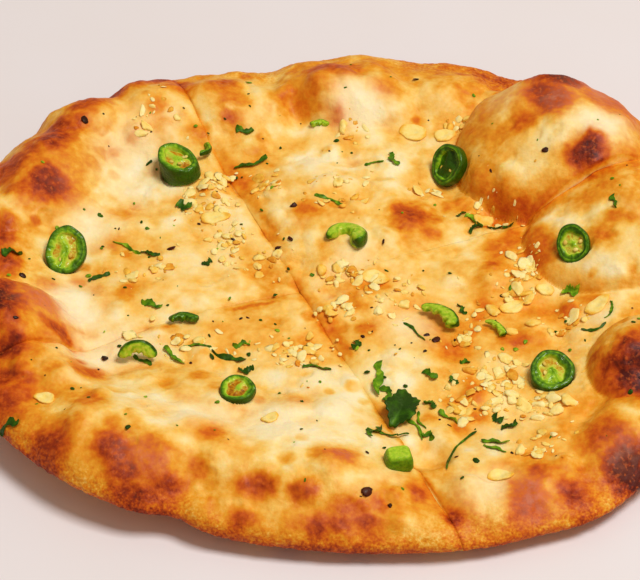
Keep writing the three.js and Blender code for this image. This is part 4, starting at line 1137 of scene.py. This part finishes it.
# Profile rows of a cut ring as (share of the radius, share of half the thickness, zone)
ringRows = [
    (0.0, -1, 0.5), (0.5, -1, 0.5), (0.86, -1, 0.4), (0.93, -0.96, 0.25), (0.98, -0.8, 0.05),
    (1.0, -0.5, 0), (1.01, 0, 0), (1.0, 0.5, 0), (0.99, 0.8, 0.02), (0.97, 0.93, 0.08),
    (0.93, 1.0, 0.12), (0.88, 1.02, 0.2), (0.82, 1.02, 0.28), (0.75, 1.0, 0.38), (0.69, 0.96, 0.5),
    (0.65, 0.84, 0.6), (0.62, 0.6, 0.72), (0.6, None, 0.84), (0.5, None, 0.98), (0.3, None, 0.96),
    (0.12, None, 0.86), (0.0, None, 0.82),
]


ringLook = {
    "grid": (60, 96),
    "topFrom": 12, "faceFrom": 8,  # rows of the profile where the hollow side and the face begin
    "floor": (1.5, 0.4),  # depth of the hollow: at most, and as a share of the thickness
    "ridgeWidth": 12, "coreWidth": 0.18, "coreRise": 0.8, "ridgeTop": 0.86, "ridgeShare": 0.9,
    "ridgePale": 0.34, "rightSkinAndShade": 0.2,
    "bumps": [(0.22, 1.7, 70), (0.1, 0.8, 69)], "streaks": 0.1,
}


def hollowDepth(item):
    most, share = ringLook["floor"]
    return min(most, item["thick"] * share)


# Rings of the profile turned round the pod's axis: wobbling wall, ridges of membrane in the hollow
def ringSurface(item, seed):
    look = ringLook
    rows, columns = look["grid"]
    half = item["thick"] / 2
    floor = 1 - hollowDepth(item) / half
    table = [(r, floor if h is None else h, zone) for r, h, zone in ringRows]
    at, (r, h, zone) = resampled(table, rows)
    angle = wholeTurn(columns)
    topSide = (at > look["topFrom"])[:, None]
    wobble = 1 + 0.03 * np.cos(3 * angle + 0.6) + 0.012 * np.cos(7 * angle + seed)
    innerWobble = 0.12 * np.cos(2 * angle + 1.7 * seed) + 0.06 * np.cos(5 * angle + seed)
    radius = item["radius"] * r * wobble * (1 + ramp(0.8, 0.6, r) * topSide * innerWobble)
    ridge = sum(np.exp(-(turnFrom(angle / degree, chamber) * r / look["ridgeWidth"]) ** 2)
                for chamber in item["chambers"])
    ridge = np.clip(ridge + look["coreRise"] * np.exp(-(r / look["coreWidth"]) ** 2), 0, 1)
    ridge = ridge * (topSide & (r < 0.64))
    height = h + (look["ridgeTop"] - h) * ridge * look["ridgeShare"]
    zone = np.where(topSide & (r < 0.61), 0.6 + (zone - 0.6) * item["hollow"], zone)
    # Partly painted shade, partly the darker skin: the top side is darker on its right half, out from
    # half the radius
    rightSkinAndShade = look["rightSkinAndShade"] * ramp(-0.1, 0.8, np.cos(angle - 0.1)) * ramp(0.5, 0.66, r)
    zone = zone + topSide * (item["shade"] * ramp(0.97, 0.88, r) - look["ridgePale"] * ridge - rightSkinAndShade)
    long, wide, turn = item["oval"]
    along = angle - turn * degree
    x, y = turned(radius * np.cos(along) * long, radius * np.sin(along) * wide, turn)
    steep, downTo = item.get("slant", (0, 0))
    downhill, _ = turned(x, y, -downTo)
    points = pointList(x, y, half * height - steep * downhill * ramp(-0.5, 1.0, height))
    onFace = np.repeat((r.ravel() < 0.95) & (at > look["faceFrom"]), columns)
    (coarse, coarseSize, coarseSeed), (fine, fineSize, fineSeed) = look["bumps"]
    bumps = coarse * softNoise(points + 30 * seed, coarseSize, coarseSeed)
    points[:, 2] += (bumps + fine * softNoise(points, fineSize, fineSeed)) * onFace
    streaks = softNoise(pointList(angle * 6, r * 2.5, float(seed)), 1, 68)
    zone = np.broadcast_to(zone, x.shape).ravel()
    zone = zone + look["streaks"] * streaks * np.repeat(r.ravel() < 0.97, columns)
    return weld(points, gridTriangles(rows, columns, wrap=True, flip=True), {"zone": zone})


stripLook = {"grid": (64, 28), "torn": 0.08, "waviness": 0.1, "streaks": 0.09, "roughness": 0.16}


# A section of pod wall carried along an arc, torn a little and closed at both ends
def stripSurface(item, seed):
    look = stripLook
    rows, columns = look["grid"]
    u = np.linspace(0, 1, rows)[:, None]
    close = np.sqrt(np.clip(1 - np.abs(2 * u - 1) ** 20, 0, 1))
    first, last = item["taper"]
    narrow = 1 - (1 - first) * (1 - u) ** 2 - (1 - last) * u ** 2
    turn = (item["spin"] + item["sweep"] * u) * degree
    section = wholeTurn(columns)
    cosine, sine = np.cos(section), np.sin(section)
    outer = np.sign(cosine) * np.abs(cosine) ** 0.6
    wall = (item["wall"] + item["web"]) * narrow
    radius = item["bend"] - wall / 2 + wall * close / 2 * outer
    torn = ramp(0.3, -0.8, cosine) * item["wall"] * look["torn"]
    radius = radius + torn * (np.sin(19 * u + seed) + 0.7 * np.sin(31 * u + 2 * seed))
    z = item["thick"] / 2 * narrow * close * np.sign(sine) * np.abs(sine) ** 0.7
    z = z + look["waviness"] * item["thick"] * np.sin(9 * u + 1.5 * seed) * outer
    streaks = np.sin(6 * outer + 3 * np.sin(7 * u + seed)) + 0.6 * np.sin(40 * u + 5 * outer)
    zone = 0.5 - 0.5 * ramp(0.25, 0.75, cosine) + look["streaks"] * streaks + item["shade"]
    points = pointList(radius * np.cos(turn), radius * np.sin(turn), z)
    rough = [softNoise(points + 20 * seed, 1.6, 71 + axis) for axis in range(3)]
    points += look["roughness"] * np.stack(rough, 1)
    closeEnds(points, rows)
    return weld(points, gridTriangles(rows, columns, wrap=True), {"zone": zone.ravel()})


# Profile of the blunt end as (share of the half length, level)
endRows = [(0, 0), (0.82, 0), (1, 0.25), (0.98, 0.6), (0.84, 0.9), (0.7, 1), (0, 1)]
endLook = {"grid": (40, 60), "squareness": 4, "bumps": 0.15, "bumpSize": 2.2, "zone": 0.24}


# Squarish levels stacked from the foot to the crown, closed by a point at both ends
def endSurface(item):
    look = endLook
    rows, columns = look["grid"]
    _, (share, level) = resampled(endRows, rows)
    angle, power = wholeTurn(columns), look["squareness"]
    square = (np.abs(np.cos(angle)) ** power + np.abs(np.sin(angle)) ** power) ** (-1 / power)
    points = pointList(item["length"] / 2 * share * square * np.cos(angle),
                       item["width"] / 2 * share * square * np.sin(angle),
                       (level - 0.5) * item["height"])
    points[:, 2] += look["bumps"] * softNoise(points, look["bumpSize"], 75)
    zone = look["zone"] * (1 + ramp(0.75, 1, level) * ramp(0.95, 0.7, share)) + 0 * angle
    return weld(points, gridTriangles(rows, columns, wrap=True, flip=True), {"zone": zone.ravel()})


seedLook = {"form": (0.95, 0.75, 0.36), "away": (0.28, 0.46), "raise": 0.45, "lean": 35}


def makeSeeds():
    look = seedLook
    ball, triangles = ballMesh(8, 12)
    draw = np.random.default_rng(5)
    seeds = []
    for item in chilliRings.values():
        for _ in range(item["seeds"]):
            angle, away = draw.uniform(0, 2 * math.pi), item["radius"] * draw.uniform(*look["away"])
            level = item["thick"] / 2 - hollowDepth(item) + look["raise"]
            place = np.array([away * math.cos(angle), away * math.sin(angle), level])
            turn = seatTurn({"turn": draw.uniform(0, 360), "lean": draw.uniform(0, look["lean"])})
            seeds.append(seated(ball * np.array(look["form"]) @ turn.T + place, item))
    tints = draw.uniform(0, 1, len(seeds))
    points, triangles, values = joined([
        (seed, triangles, np.full(len(seed), tint)) for seed, tint in zip(seeds, tints)])
    makePiece("chilli_seeds", points, triangles, seedFinish, values)


def makeChilli():
    bits = [(name, item, ringSurface(item, number + 1))
            for number, (name, item) in enumerate(chilliRings.items())]
    bits += [(name, item, stripSurface(item, number + 1))
             for number, (name, item) in enumerate(chilliStrips.items())]
    bits.append(("chilli_end", chilliEnd, endSurface(chilliEnd)))
    for name, item, (points, triangles, values) in bits:
        piece = makePiece(name + "_look", seated(points, item), triangles, chilliFinish, values)
        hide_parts(name)
    makeSeeds()


makeChilli()
print("chilli made")


# Chopped pieces

# Even draws between 0 and 1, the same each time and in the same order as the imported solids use
def makeDraw(seed):
    state = [seed]

    def draw():
        state[0] = (state[0] * 1664525 + 1013904223) & 0xFFFFFFFF
        return state[0] / 4294967296
    return draw


scatterLook = {"tries": 14, "spread": 1.3, "fromCut": 1.1, "fromChilli": 0.9, "overlap": 0.35}


# Places of the larger garlic pieces: drawn heap by heap, clear of the cuts, the chilli and each other
def scatterGarlic():
    look = scatterLook
    draw = makeDraw(20)
    prints = chilliFootprints()
    placed = []
    for midX, midY, across, along, count, small, large in garlicHeaps:
        for _ in range(count):
            for _ in range(look["tries"]):
                x = midX + across * (draw() + draw() - 1) * look["spread"]
                y = midY + along * (draw() + draw() - 1) * look["spread"]
                radius = (small + (large - small) * draw()) / 2
                taken = [(a, b, r + look["fromChilli"]) for a, b, r in prints]
                taken += [(a, b, r - look["overlap"] * radius) for a, b, r in placed]
                beside = min(sliceAt(x, y)[1]) < radius + look["fromCut"]
                if not beside and not any(math.hypot(x - a, y - b) < radius + r for a, b, r in taken):
                    placed.append((x, y, radius))
                    break
    return placed


chipLook = {
    "planes": 8, "planeAway": (0.45, 1.0), "power": 9, "roundness": 0.35,
    "roughSize": 0.55, "flatnessSpread": (0.65, 1.35), "tilt": 0.45,
    "steepBand": (0.45, 0.9), "steepNarrows": 0.75, "steepLowers": 0.7,
    "tintPower": 1.5, "footTint": 0.3, "tintMottle": 0.15,
}


# Chips: the p-norm of a few random cutting planes, roughened, tilted and draped on the crust in one
# mesh. They are smaller and lower on steep ground.
def chipCloud(places, flatness, sink, seed, grid, stretch, rough=0.16):
    look = chipLook
    draw = np.random.default_rng(seed)
    places = np.array(places, float)
    count = len(places)
    ball, triangles = ballMesh(*grid)
    planes = draw.normal(size=(count, look["planes"], 3))
    planes /= np.linalg.norm(planes, axis=2, keepdims=True)
    away = draw.uniform(*look["planeAway"], (count, look["planes"], 1))
    facing = np.maximum(np.einsum("cpk,vk->cpv", planes, ball), 0) / away
    power = look["power"]
    size = (np.sum(facing ** power, axis=1) + look["roundness"]) ** (-1 / power)
    midX, midY, radius = places[:, 0:1], places[:, 1:2], places[:, 2:3]
    shape = ball[None] * size[..., None]
    own = (shape + 40 * draw.uniform(size=(count, 1, 3))).reshape(-1, 3)
    shape = shape * (1 + rough * softNoise(own, look["roughSize"], seed).reshape(count, -1, 1))
    flat = flatness * draw.uniform(*look["flatnessSpread"], (count, 1, 1))
    shape = shape * np.concatenate([draw.uniform(*stretch, (count, 1, 2)), flat], 2)
    tilt = draw.uniform(-look["tilt"], look["tilt"], (count, 1))
    level = shape[..., 2] * np.cos(tilt) + shape[..., 0] * np.sin(tilt)
    length = shape[..., 0] * np.cos(tilt) - shape[..., 2] * np.sin(tilt)
    across, along = turned(length, shape[..., 1], draw.uniform(0, 360, (count, 1)))
    ground = groundAt(midX, midY)
    slope = np.hypot(groundAt(midX + 1, midY) - ground, groundAt(midX, midY + 1) - ground)
    steep = ramp(*look["steepBand"], slope)
    narrowed = radius * (1 - look["steepNarrows"] * steep)
    x, y = midX + narrowed * across, midY + narrowed * along
    lowered = radius * (1 - look["steepLowers"] * steep)
    z = groundAt(x, y) + lowered * (level + flatness * (1 - sink))
    points = pointList(x, y, z)
    offsets = np.repeat(np.arange(count) * len(ball), len(triangles))[:, None]
    tint = np.repeat(draw.uniform(0, 1, count) ** look["tintPower"], len(ball))
    tint = tint + look["footTint"] * ramp(0.3, -0.7, np.tile(ball[:, 2], count))
    tint = tint + look["tintMottle"] * softNoise(points, 1.5, seed + 1)
    return points, np.tile(triangles, (count, 1)) + offsets, {"tint": tint}


def clearOfChilli(places):
    prints = chilliFootprints()
    return [p for p in places if all(math.hypot(p[0] - a, p[1] - b) > r for a, b, r in prints)]


def scatterRound(heaps, perHeap, sizes, spread, seed):
    draw = np.random.default_rng(seed)
    places = []
    for heap in heaps:
        count = int(round(perHeap * heap[4] / 4))
        x = heap[0] + spread * heap[2] * draw.normal(0, 0.62, count)
        y = heap[1] + spread * heap[3] * draw.normal(0, 0.62, count)
        places += list(zip(x, y, draw.uniform(*sizes, count) / 2))
    return clearOfChilli(places)


garlicLook = {
    "chopped": {"flatness": 0.4, "sink": 0.6, "seed": 21, "grid": (11, 16), "stretch": (0.7, 1.6)},
    "crumbs": {"flatness": 0.4, "sink": 0.65, "seed": 23, "grid": (7, 9), "stretch": (0.6, 1.9)},
    "rough": 0.24,
    "choppedTint": (0.08, 0.75), "crumbTint": (0.1, 0.8),  # least, and share of the drawn tint
    "larger": (15, (1.6, 3.4), 0.95, 22),  # crumbs for each heap of four, sizes, spread, seed
    "smaller": (16, (0.7, 1.6), 1.3, 24),
}


def makeGarlic():
    look = garlicLook
    crumbs = scatterRound(garlicHeaps, *look["larger"]) + scatterRound(garlicHeaps, *look["smaller"])
    for name, places, form, (least, share) in (
            ("garlic_chopped", scatterGarlic(), look["chopped"], look["choppedTint"]),
            ("garlic_crumbs", crumbs, look["crumbs"], look["crumbTint"])):
        points, triangles, values = chipCloud(places, rough=look["rough"], **form)
        values["tint"] = least + share * values["tint"]
        piece = makePiece(name, points, triangles, garlicFinish, values)
    return len(crumbs)


print("garlic made with", makeGarlic(), "crumbs")

# Flat slices of garlic clove: x, y, width, turn
garlicSlices = [
    (-31, 37, 10, 10), (26.5, 4.5, 9.5, -5), (42, 85.5, 11, -12), (53.5, 83, 9, 8),
    (86, -2, 7, -30), (74, -9.5, 9, 20), (103, -14, 9.5, 40), (65.5, -94, 8, 0),
    (-84, -66, 7.5, -10), (-9.5, -71.5, 6.5, 30),
]


# Profile of a slice of clove as (share of the half width, level)
cloveRows = [(0, 0), (0.7, 0), (0.95, 0.08), (1, 0.5), (0.95, 0.9), (0.8, 1), (0.45, 0.95),
             (0.2, 0.6), (0, 0.5)]
cloveLook = {"grid": (22, 40), "height": 0.85, "narrow": 0.68, "curl": 0.25, "sink": 0.05}


# A wobbly disc laid on the crust: its rim is rounded and its middle dips where the germ was
def makeGarlicSlices():
    look = cloveLook
    rows, columns = look["grid"]
    _, (share, level) = resampled(cloveRows, rows)
    angle = wholeTurn(columns)
    parts = []
    for number, (midX, midY, width, turn) in enumerate(garlicSlices):
        outline = 1 + 0.1 * np.cos(2 * angle + number) + 0.07 * np.cos(3 * angle + 2 * number)
        outline = outline + 0.03 * np.cos(7 * angle + number)
        u = width / 2 * share * outline * np.cos(angle)
        v = width / 2 * look["narrow"] * share * outline * np.sin(angle)
        x, y = turned(u, v, turn) + np.array([midX, midY])[:, None, None]
        curl = look["curl"] * share ** 2 * np.cos(2 * angle + 1.3 * number)
        z = groundAt(x, y) - look["sink"] + look["height"] * level + curl
        faces = gridTriangles(rows, columns, wrap=True, flip=True)
        points, triangles, _ = weld(pointList(x, y, z), faces, {})
        away = np.hypot(points[:, 0] - midX, points[:, 1] - midY) * 2 / width
        parts.append((points, triangles, 0.3 + 0.4 * ramp(0.55, 1.0, away)))
    points, triangles, values = joined(parts)
    piece = makePiece("garlic_slices", points, triangles, garlicFinish, values)


makeGarlicSlices()

# Coriander shreds: x, y, direction, length, width, sideways bend
shreds = [
    (-101.5, 10.5, 8, 7.6, 3, 0), (-53.5, 18, -11, 7.3, 2, 0), (-42.5, 43, -28, 6, 3, 0),
    (-21, 84, 2, 7, 2.2, 0), (-18.5, 69.5, 30, 14.3, 2.2, -1.5), (-51.5, -9, -22, 8, 2, -1),
    (-42.5, -34.5, -48, 11, 2, -1.5), (-24, -34, -11, 12.3, 2.3, -1.5), (-20, -28.5, 9, 6.2, 2, 0),
    (-18, -41.5, 6, 5.5, 2.4, 0), (6, -41, -9, 10, 2, 1), (34, 69, -75, 9, 2.2, 0),
    (63, 31.5, 34, 6.5, 2, 0), (94.5, -4, -16, 6.2, 2.5, 0), (56.5, -11, -67, 5.6, 1.9, 0),
    (44, -58.5, -41, 5, 2.5, 0), (49.5, -64.5, -39, 8, 1.9, 0.5), (43, -73.5, -31, 4.8, 2.4, 0),
    (66, -65, -48, 4.4, 2.2, 0), (70, -69, 36, 6.8, 2.4, 0), (65, -76, -14, 9.7, 2, -1),
    (44, -46, -28, 6.1, 2.2, 0.5), (52, -47.5, -66, 4.6, 2, 0), (27.5, -46.5, -94, 17, 2.6, -1),
    (25, -75.5, 45, 7, 3.4, 0), (19.5, -29.5, 64, 4.8, 2.4, 0),
]
# Thin stems and torn threads too fine for the solids
stems = [
    (-62, 21.5, -36, 12.3, 1.3, 0.5), (-71, 6.3, 29, 8.6, 1.5, 0), (-35, -30.5, -12, 10.2, 1.2, 0),
    (-53.5, -37, -34, 8.1, 1.2, 0), (10.5, 41.5, -33, 12.9, 1.2, 1), (111, 25, -81, 7, 1.6, 0),
    (101, -24, 8, 9, 1, -1.5), (106, -17, 70, 8, 1, -2), (39.5, -23, -54, 11.8, 1.1, 0.5),
    (64.5, -80.5, -32, 9, 1.3, 0), (54, -81, 63, 24, 0.9, 3), (27, 67, 6, 7.4, 1.2, 0),
    (-33, 13.5, 35, 4.2, 1.8, 0), (31.5, -75, 9, 10.5, 1.3, 0), (56.5, -37.5, -4, 3.8, 1.8, 0),
    (-95, -76, -4, 6.9, 2.4, 0), (38, -70, -60, 12, 1.1, 1.5), (41, -66, -75, 9, 1, -1),
    (66, 36, 60, 7, 2, 0.5), (70, 33.5, 10, 6, 1.7, 0), (61.5, 36, -40, 5, 2, 0),
    (75, 34, 30, 5, 1.4, 0), (29.5, -54, -70, 8, 2.2, 0.6), (58, 39, 20, 4, 1.4, 0),
]


# What is drawn for each blade, in this order
bladeDraws = {
    "endPower": (7, 16), "lobeTurns": (4, 7), "lobeStart": (0, 6), "toothTurns": (12, 18),
    "toothStart": (0, 6), "curl": (0.4, 1.3), "twist": (-1.1, 1.1), "lean": (-0.5, 0.5),
    "waveTurns": (3, 5), "waveStart": (0, 6), "hump": (0.05, 0.5), "humpTurns": (2, 5),
    "humpStart": (0, 3), "tint": (0.1, 0.75),
}
bladeLook = {
    "grid": (34, 16), "lobes": 0.3, "teeth": 0.16, "fullness": 1.05, "wave": 0.28, "hump": 0.3,
    "deepest": -0.35, "mottle": 0.3,
}


# Shreds: a thin blade rolled to an arc across its width and carried along a wavy line on the crust
def makeShreds(name, strips, lift, thickness, seed, roll):
    look = bladeLook
    rows, columns = look["grid"]
    draw = np.random.default_rng(seed)
    u, section = np.linspace(-1, 1, rows)[:, None], wholeTurn(columns)
    parts = []
    for midX, midY, turn, length, width, bend in strips:
        own = {key: draw.uniform(*limits) for key, limits in bladeDraws.items()}
        taper = np.sqrt(np.clip(1 - np.abs(u) ** own["endPower"], 0, 1))
        ragged = 1 + look["lobes"] * np.sin(u * own["lobeTurns"] + own["lobeStart"])
        ragged = ragged + look["teeth"] * np.sin(u * own["toothTurns"] + own["toothStart"])
        curl = roll / width * own["curl"]
        bent = width / 2 * taper * ragged * look["fullness"] * np.cos(section) * curl
        side = np.sin(bent) / curl
        level = (1 - np.cos(bent)) / curl + thickness * np.sin(section) * taper
        twist = own["twist"] * u + own["lean"]
        sideways = side * np.cos(twist) - level * np.sin(twist)
        upward = side * np.sin(twist) + level * np.cos(twist)
        wave = look["wave"] * width * np.sin(u * own["waveTurns"] + own["waveStart"])
        along, aside = u * length / 2, bend * (1 - u * u) + wave + sideways
        x, y = turned(along, aside, turn) + np.array([midX, midY])[:, None, None]
        hump = own["hump"] * width * (1 - np.cos(u * own["humpTurns"] + own["humpStart"]))
        raised = np.maximum(lift + look["hump"] * hump + upward, look["deepest"])
        points = pointList(x, y, groundAt(x, y) + raised)
        closeEnds(points, rows)
        points, triangles, _ = weld(points, gridTriangles(rows, columns, wrap=True, flip=True), {})
        parts.append((points, triangles, own["tint"] + look["mottle"] * softNoise(points, 1.6, seed)))
    points, triangles, values = joined(parts)
    piece = makePiece(name, points, triangles, corianderFinish, values)


makeShreds("coriander_shreds", shreds, 0.3, 0.2, 31, 1.9)
makeShreds("coriander_stems", stems, 0.25, 0.26, 32, 0.8)
print("shreds made")


# A lobed leaf folded along its midrib: thin body between an upper and a lower sheet, with veins
def makeLeaf():
    rows, columns = leaf["grid"]
    inner = rows // 2
    share = np.concatenate([np.linspace(0, 1, inner), np.linspace(1, 0, rows - inner)])[:, None]
    above = np.concatenate([np.ones(inner), -np.ones(rows - inner)])[:, None]
    above[inner - 1:inner + 1] = 0
    angle = wholeTurn(columns)
    lobe = 1 - 0.6 * leaf["lobeDepth"] * share * np.cos(leaf["lobes"] * angle)
    lobe = lobe + 0.06 * np.cos(2 * angle - 1) + leaf["teeth"] * share ** 3 * np.sin(17 * angle)
    x = leaf["long"] * lobe * share * np.cos(angle)
    y = leaf["wide"] * lobe * share * np.sin(angle)
    fold = np.where(y > 0, *leaf["folded"]) * np.abs(y) - 0.02 * x * x
    middle = fold + 0.5 * leaf["wave"] * share * np.sin(3 * angle + 0.7)
    fromVein = turnFrom(angle / degree * leaf["lobes"], 180)
    vein = np.exp(-(fromVein / leaf["veinWidth"]) ** 2) * share
    z = middle + above * leaf["thick"] / 2 * (1 - 0.3 * share)
    z = z + leaf["veinRise"] * vein * (above > 0)
    points, triangles, values = weld(pointList(x, y, z), gridTriangles(rows, columns, wrap=True),
                                     {"tint": vein.ravel()})
    values["tint"] = 0.06 + 0.3 * values["tint"] + 0.3 * softNoise(points, 2.5, 33)
    piece = makePiece("coriander_leaf_look", seated(points, leaf), triangles, corianderFinish, values)
    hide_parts("coriander_leaf")


makeLeaf()

# Charred flecks: x, y, size
charFlecks = [
    (-46, 20.5, 2.9), (-24, 26, 2.2), (-36.5, 34, 2.2), (47, -27, 2.4), (53.5, -27, 2.2),
    (22, -106.5, 3.2), (-66.5, -35.5, 2.8), (-97, 0, 2.2), (29.5, 20, 2.2), (-3.7, 23.4, 3.2),
    (-7.9, 19.9, 2.4), (-2.7, 39.5, 2), (43.5, 111, 2.6), (-80, 78, 2.4), (-87, -23, 2.6),
    (71, -4, 1.8), (65, 59.6, 2), (-37, -38, 1.8), (-18, -15, 1.6), (-68, -43.7, 1.6),
    (29.4, -110, 1.8), (43.9, -24.4, 1.6), (42.9, -33.6, 1.6), (69, 51, 2.4), (88, 52, 2.6),
    (-73, 82, 1.6), (-71, 71, 1.8), (98, -52, 1.6), (59, -60, 1.4), (84, -87, 1.5),
]


# Tiny flecks strewn over the bread, thinner towards the rim
def strewn(count, sizes, seed):
    draw = np.random.default_rng(seed)
    angle = draw.uniform(0, 360, count)
    away = np.sqrt(draw.uniform(0, 0.8, count)) * reach(angle)
    radius = draw.uniform(*sizes, count) / 2
    x, y = away * np.cos(angle * degree), away * np.sin(angle * degree)
    return clearOfChilli(list(zip(x, y, radius)))


fleckLook = {
    "charred": {"flatness": 0.4, "sink": 0.3, "seed": 42, "grid": (8, 11), "stretch": (0.5, 1.9)},
    "green": {"flatness": 0.4, "sink": 0.2, "seed": 44, "grid": (6, 8), "stretch": (0.5, 1.6)},
    "charSize": 0.42, "charTint": 0.4,
    "charStrewn": (46, (0.5, 1.1), 41), "greenStrewn": (150, (0.7, 2.0), 43),  # count, sizes, seed
}


def makeFlecks():
    look = fleckLook
    charred = [(x, y, look["charSize"] * size) for x, y, size in charFlecks]
    points, triangles, values = chipCloud(charred + strewn(*look["charStrewn"]), **look["charred"])
    values["tint"] = values["tint"] * look["charTint"]
    makePiece("charred_flecks", points, triangles, charFinish, values)
    points, triangles, values = chipCloud(strewn(*look["greenStrewn"]), **look["green"])
    makePiece("coriander_flecks", points, triangles, corianderFinish, values)


makeFlecks()
print("flecks made")

# Floor, light and camera

stageLook = {
    "floorColour": (236, 229, 230), "floorStain": (230, 218, 210), "stainSize": 60.0,
    "stainShare": (0.1, 0.1), "floorRoughness": 0.6, "floorEdge": 3.0, "floorLevel": -0.0002,
    "keyPlace": (0.85, -0.25, 2.22), "keySize": 0.8, "keyEnergy": 42,
    "worldColour": (1.0, 0.86, 0.7, 1), "worldStrength": 0.35,
    "cameraPlace": (-0.00193, -0.7122, 0.6457), "cameraTilt": 48, "lens": 152.3, "sensor": 36,
    "seenFrom": 0.01, "seenTo": 20,
}


def addObject(name, data):
    thing = bpy.data.objects.new(name, data)
    bpy.context.scene.collection.objects.link(thing)
    return thing


def makeStage():
    look = stageLook
    mesh = bpy.data.meshes.new("floor")
    edge, low = look["floorEdge"], look["floorLevel"]
    corners = [(-edge, -edge, low), (edge, -edge, low), (edge, edge, low), (-edge, edge, low)]
    mesh.from_pydata(corners, [], [(0, 1, 2, 3)])
    floor = addObject("floor", mesh)
    material, tree, shader, coordinates = newMaterial("pale table")
    stain = mottleOf(tree, coordinates, look["stainSize"])
    share = calculate(tree, "MULTIPLY_ADD", stain, *look["stainShare"])
    colour = blendIn(tree, screenColour(*look["floorColour"]), share, look["floorStain"])
    setInputs(tree, shader, {"Base Color": colour, "Roughness": look["floorRoughness"]})
    mesh.materials.append(material)

    world = bpy.data.worlds.new("studio")
    bpy.context.scene.world = world
    world.use_nodes = True
    setInputs(world.node_tree, world.node_tree.nodes["Background"], {
        "Color": look["worldColour"], "Strength": look["worldStrength"]})

    light = bpy.data.lights.new("key light", "AREA")
    light.size = look["keySize"]
    light.energy = look["keyEnergy"]
    key = addObject("key light", light)
    key.location = look["keyPlace"]
    key.rotation_euler = (-Vector(look["keyPlace"])).to_track_quat("-Z", "Y").to_euler()

    camera = bpy.data.cameras.new("camera")
    camera.lens, camera.sensor_width = look["lens"], look["sensor"]
    camera.clip_start, camera.clip_end = look["seenFrom"], look["seenTo"]
    seen = addObject("camera", camera)
    seen.location = look["cameraPlace"]
    seen.rotation_euler = (look["cameraTilt"] * degree, 0, 0)
    bpy.context.scene.camera = seen
    bpy.context.scene.view_settings.view_transform = "Standard"


makeStage()
print("stage made")
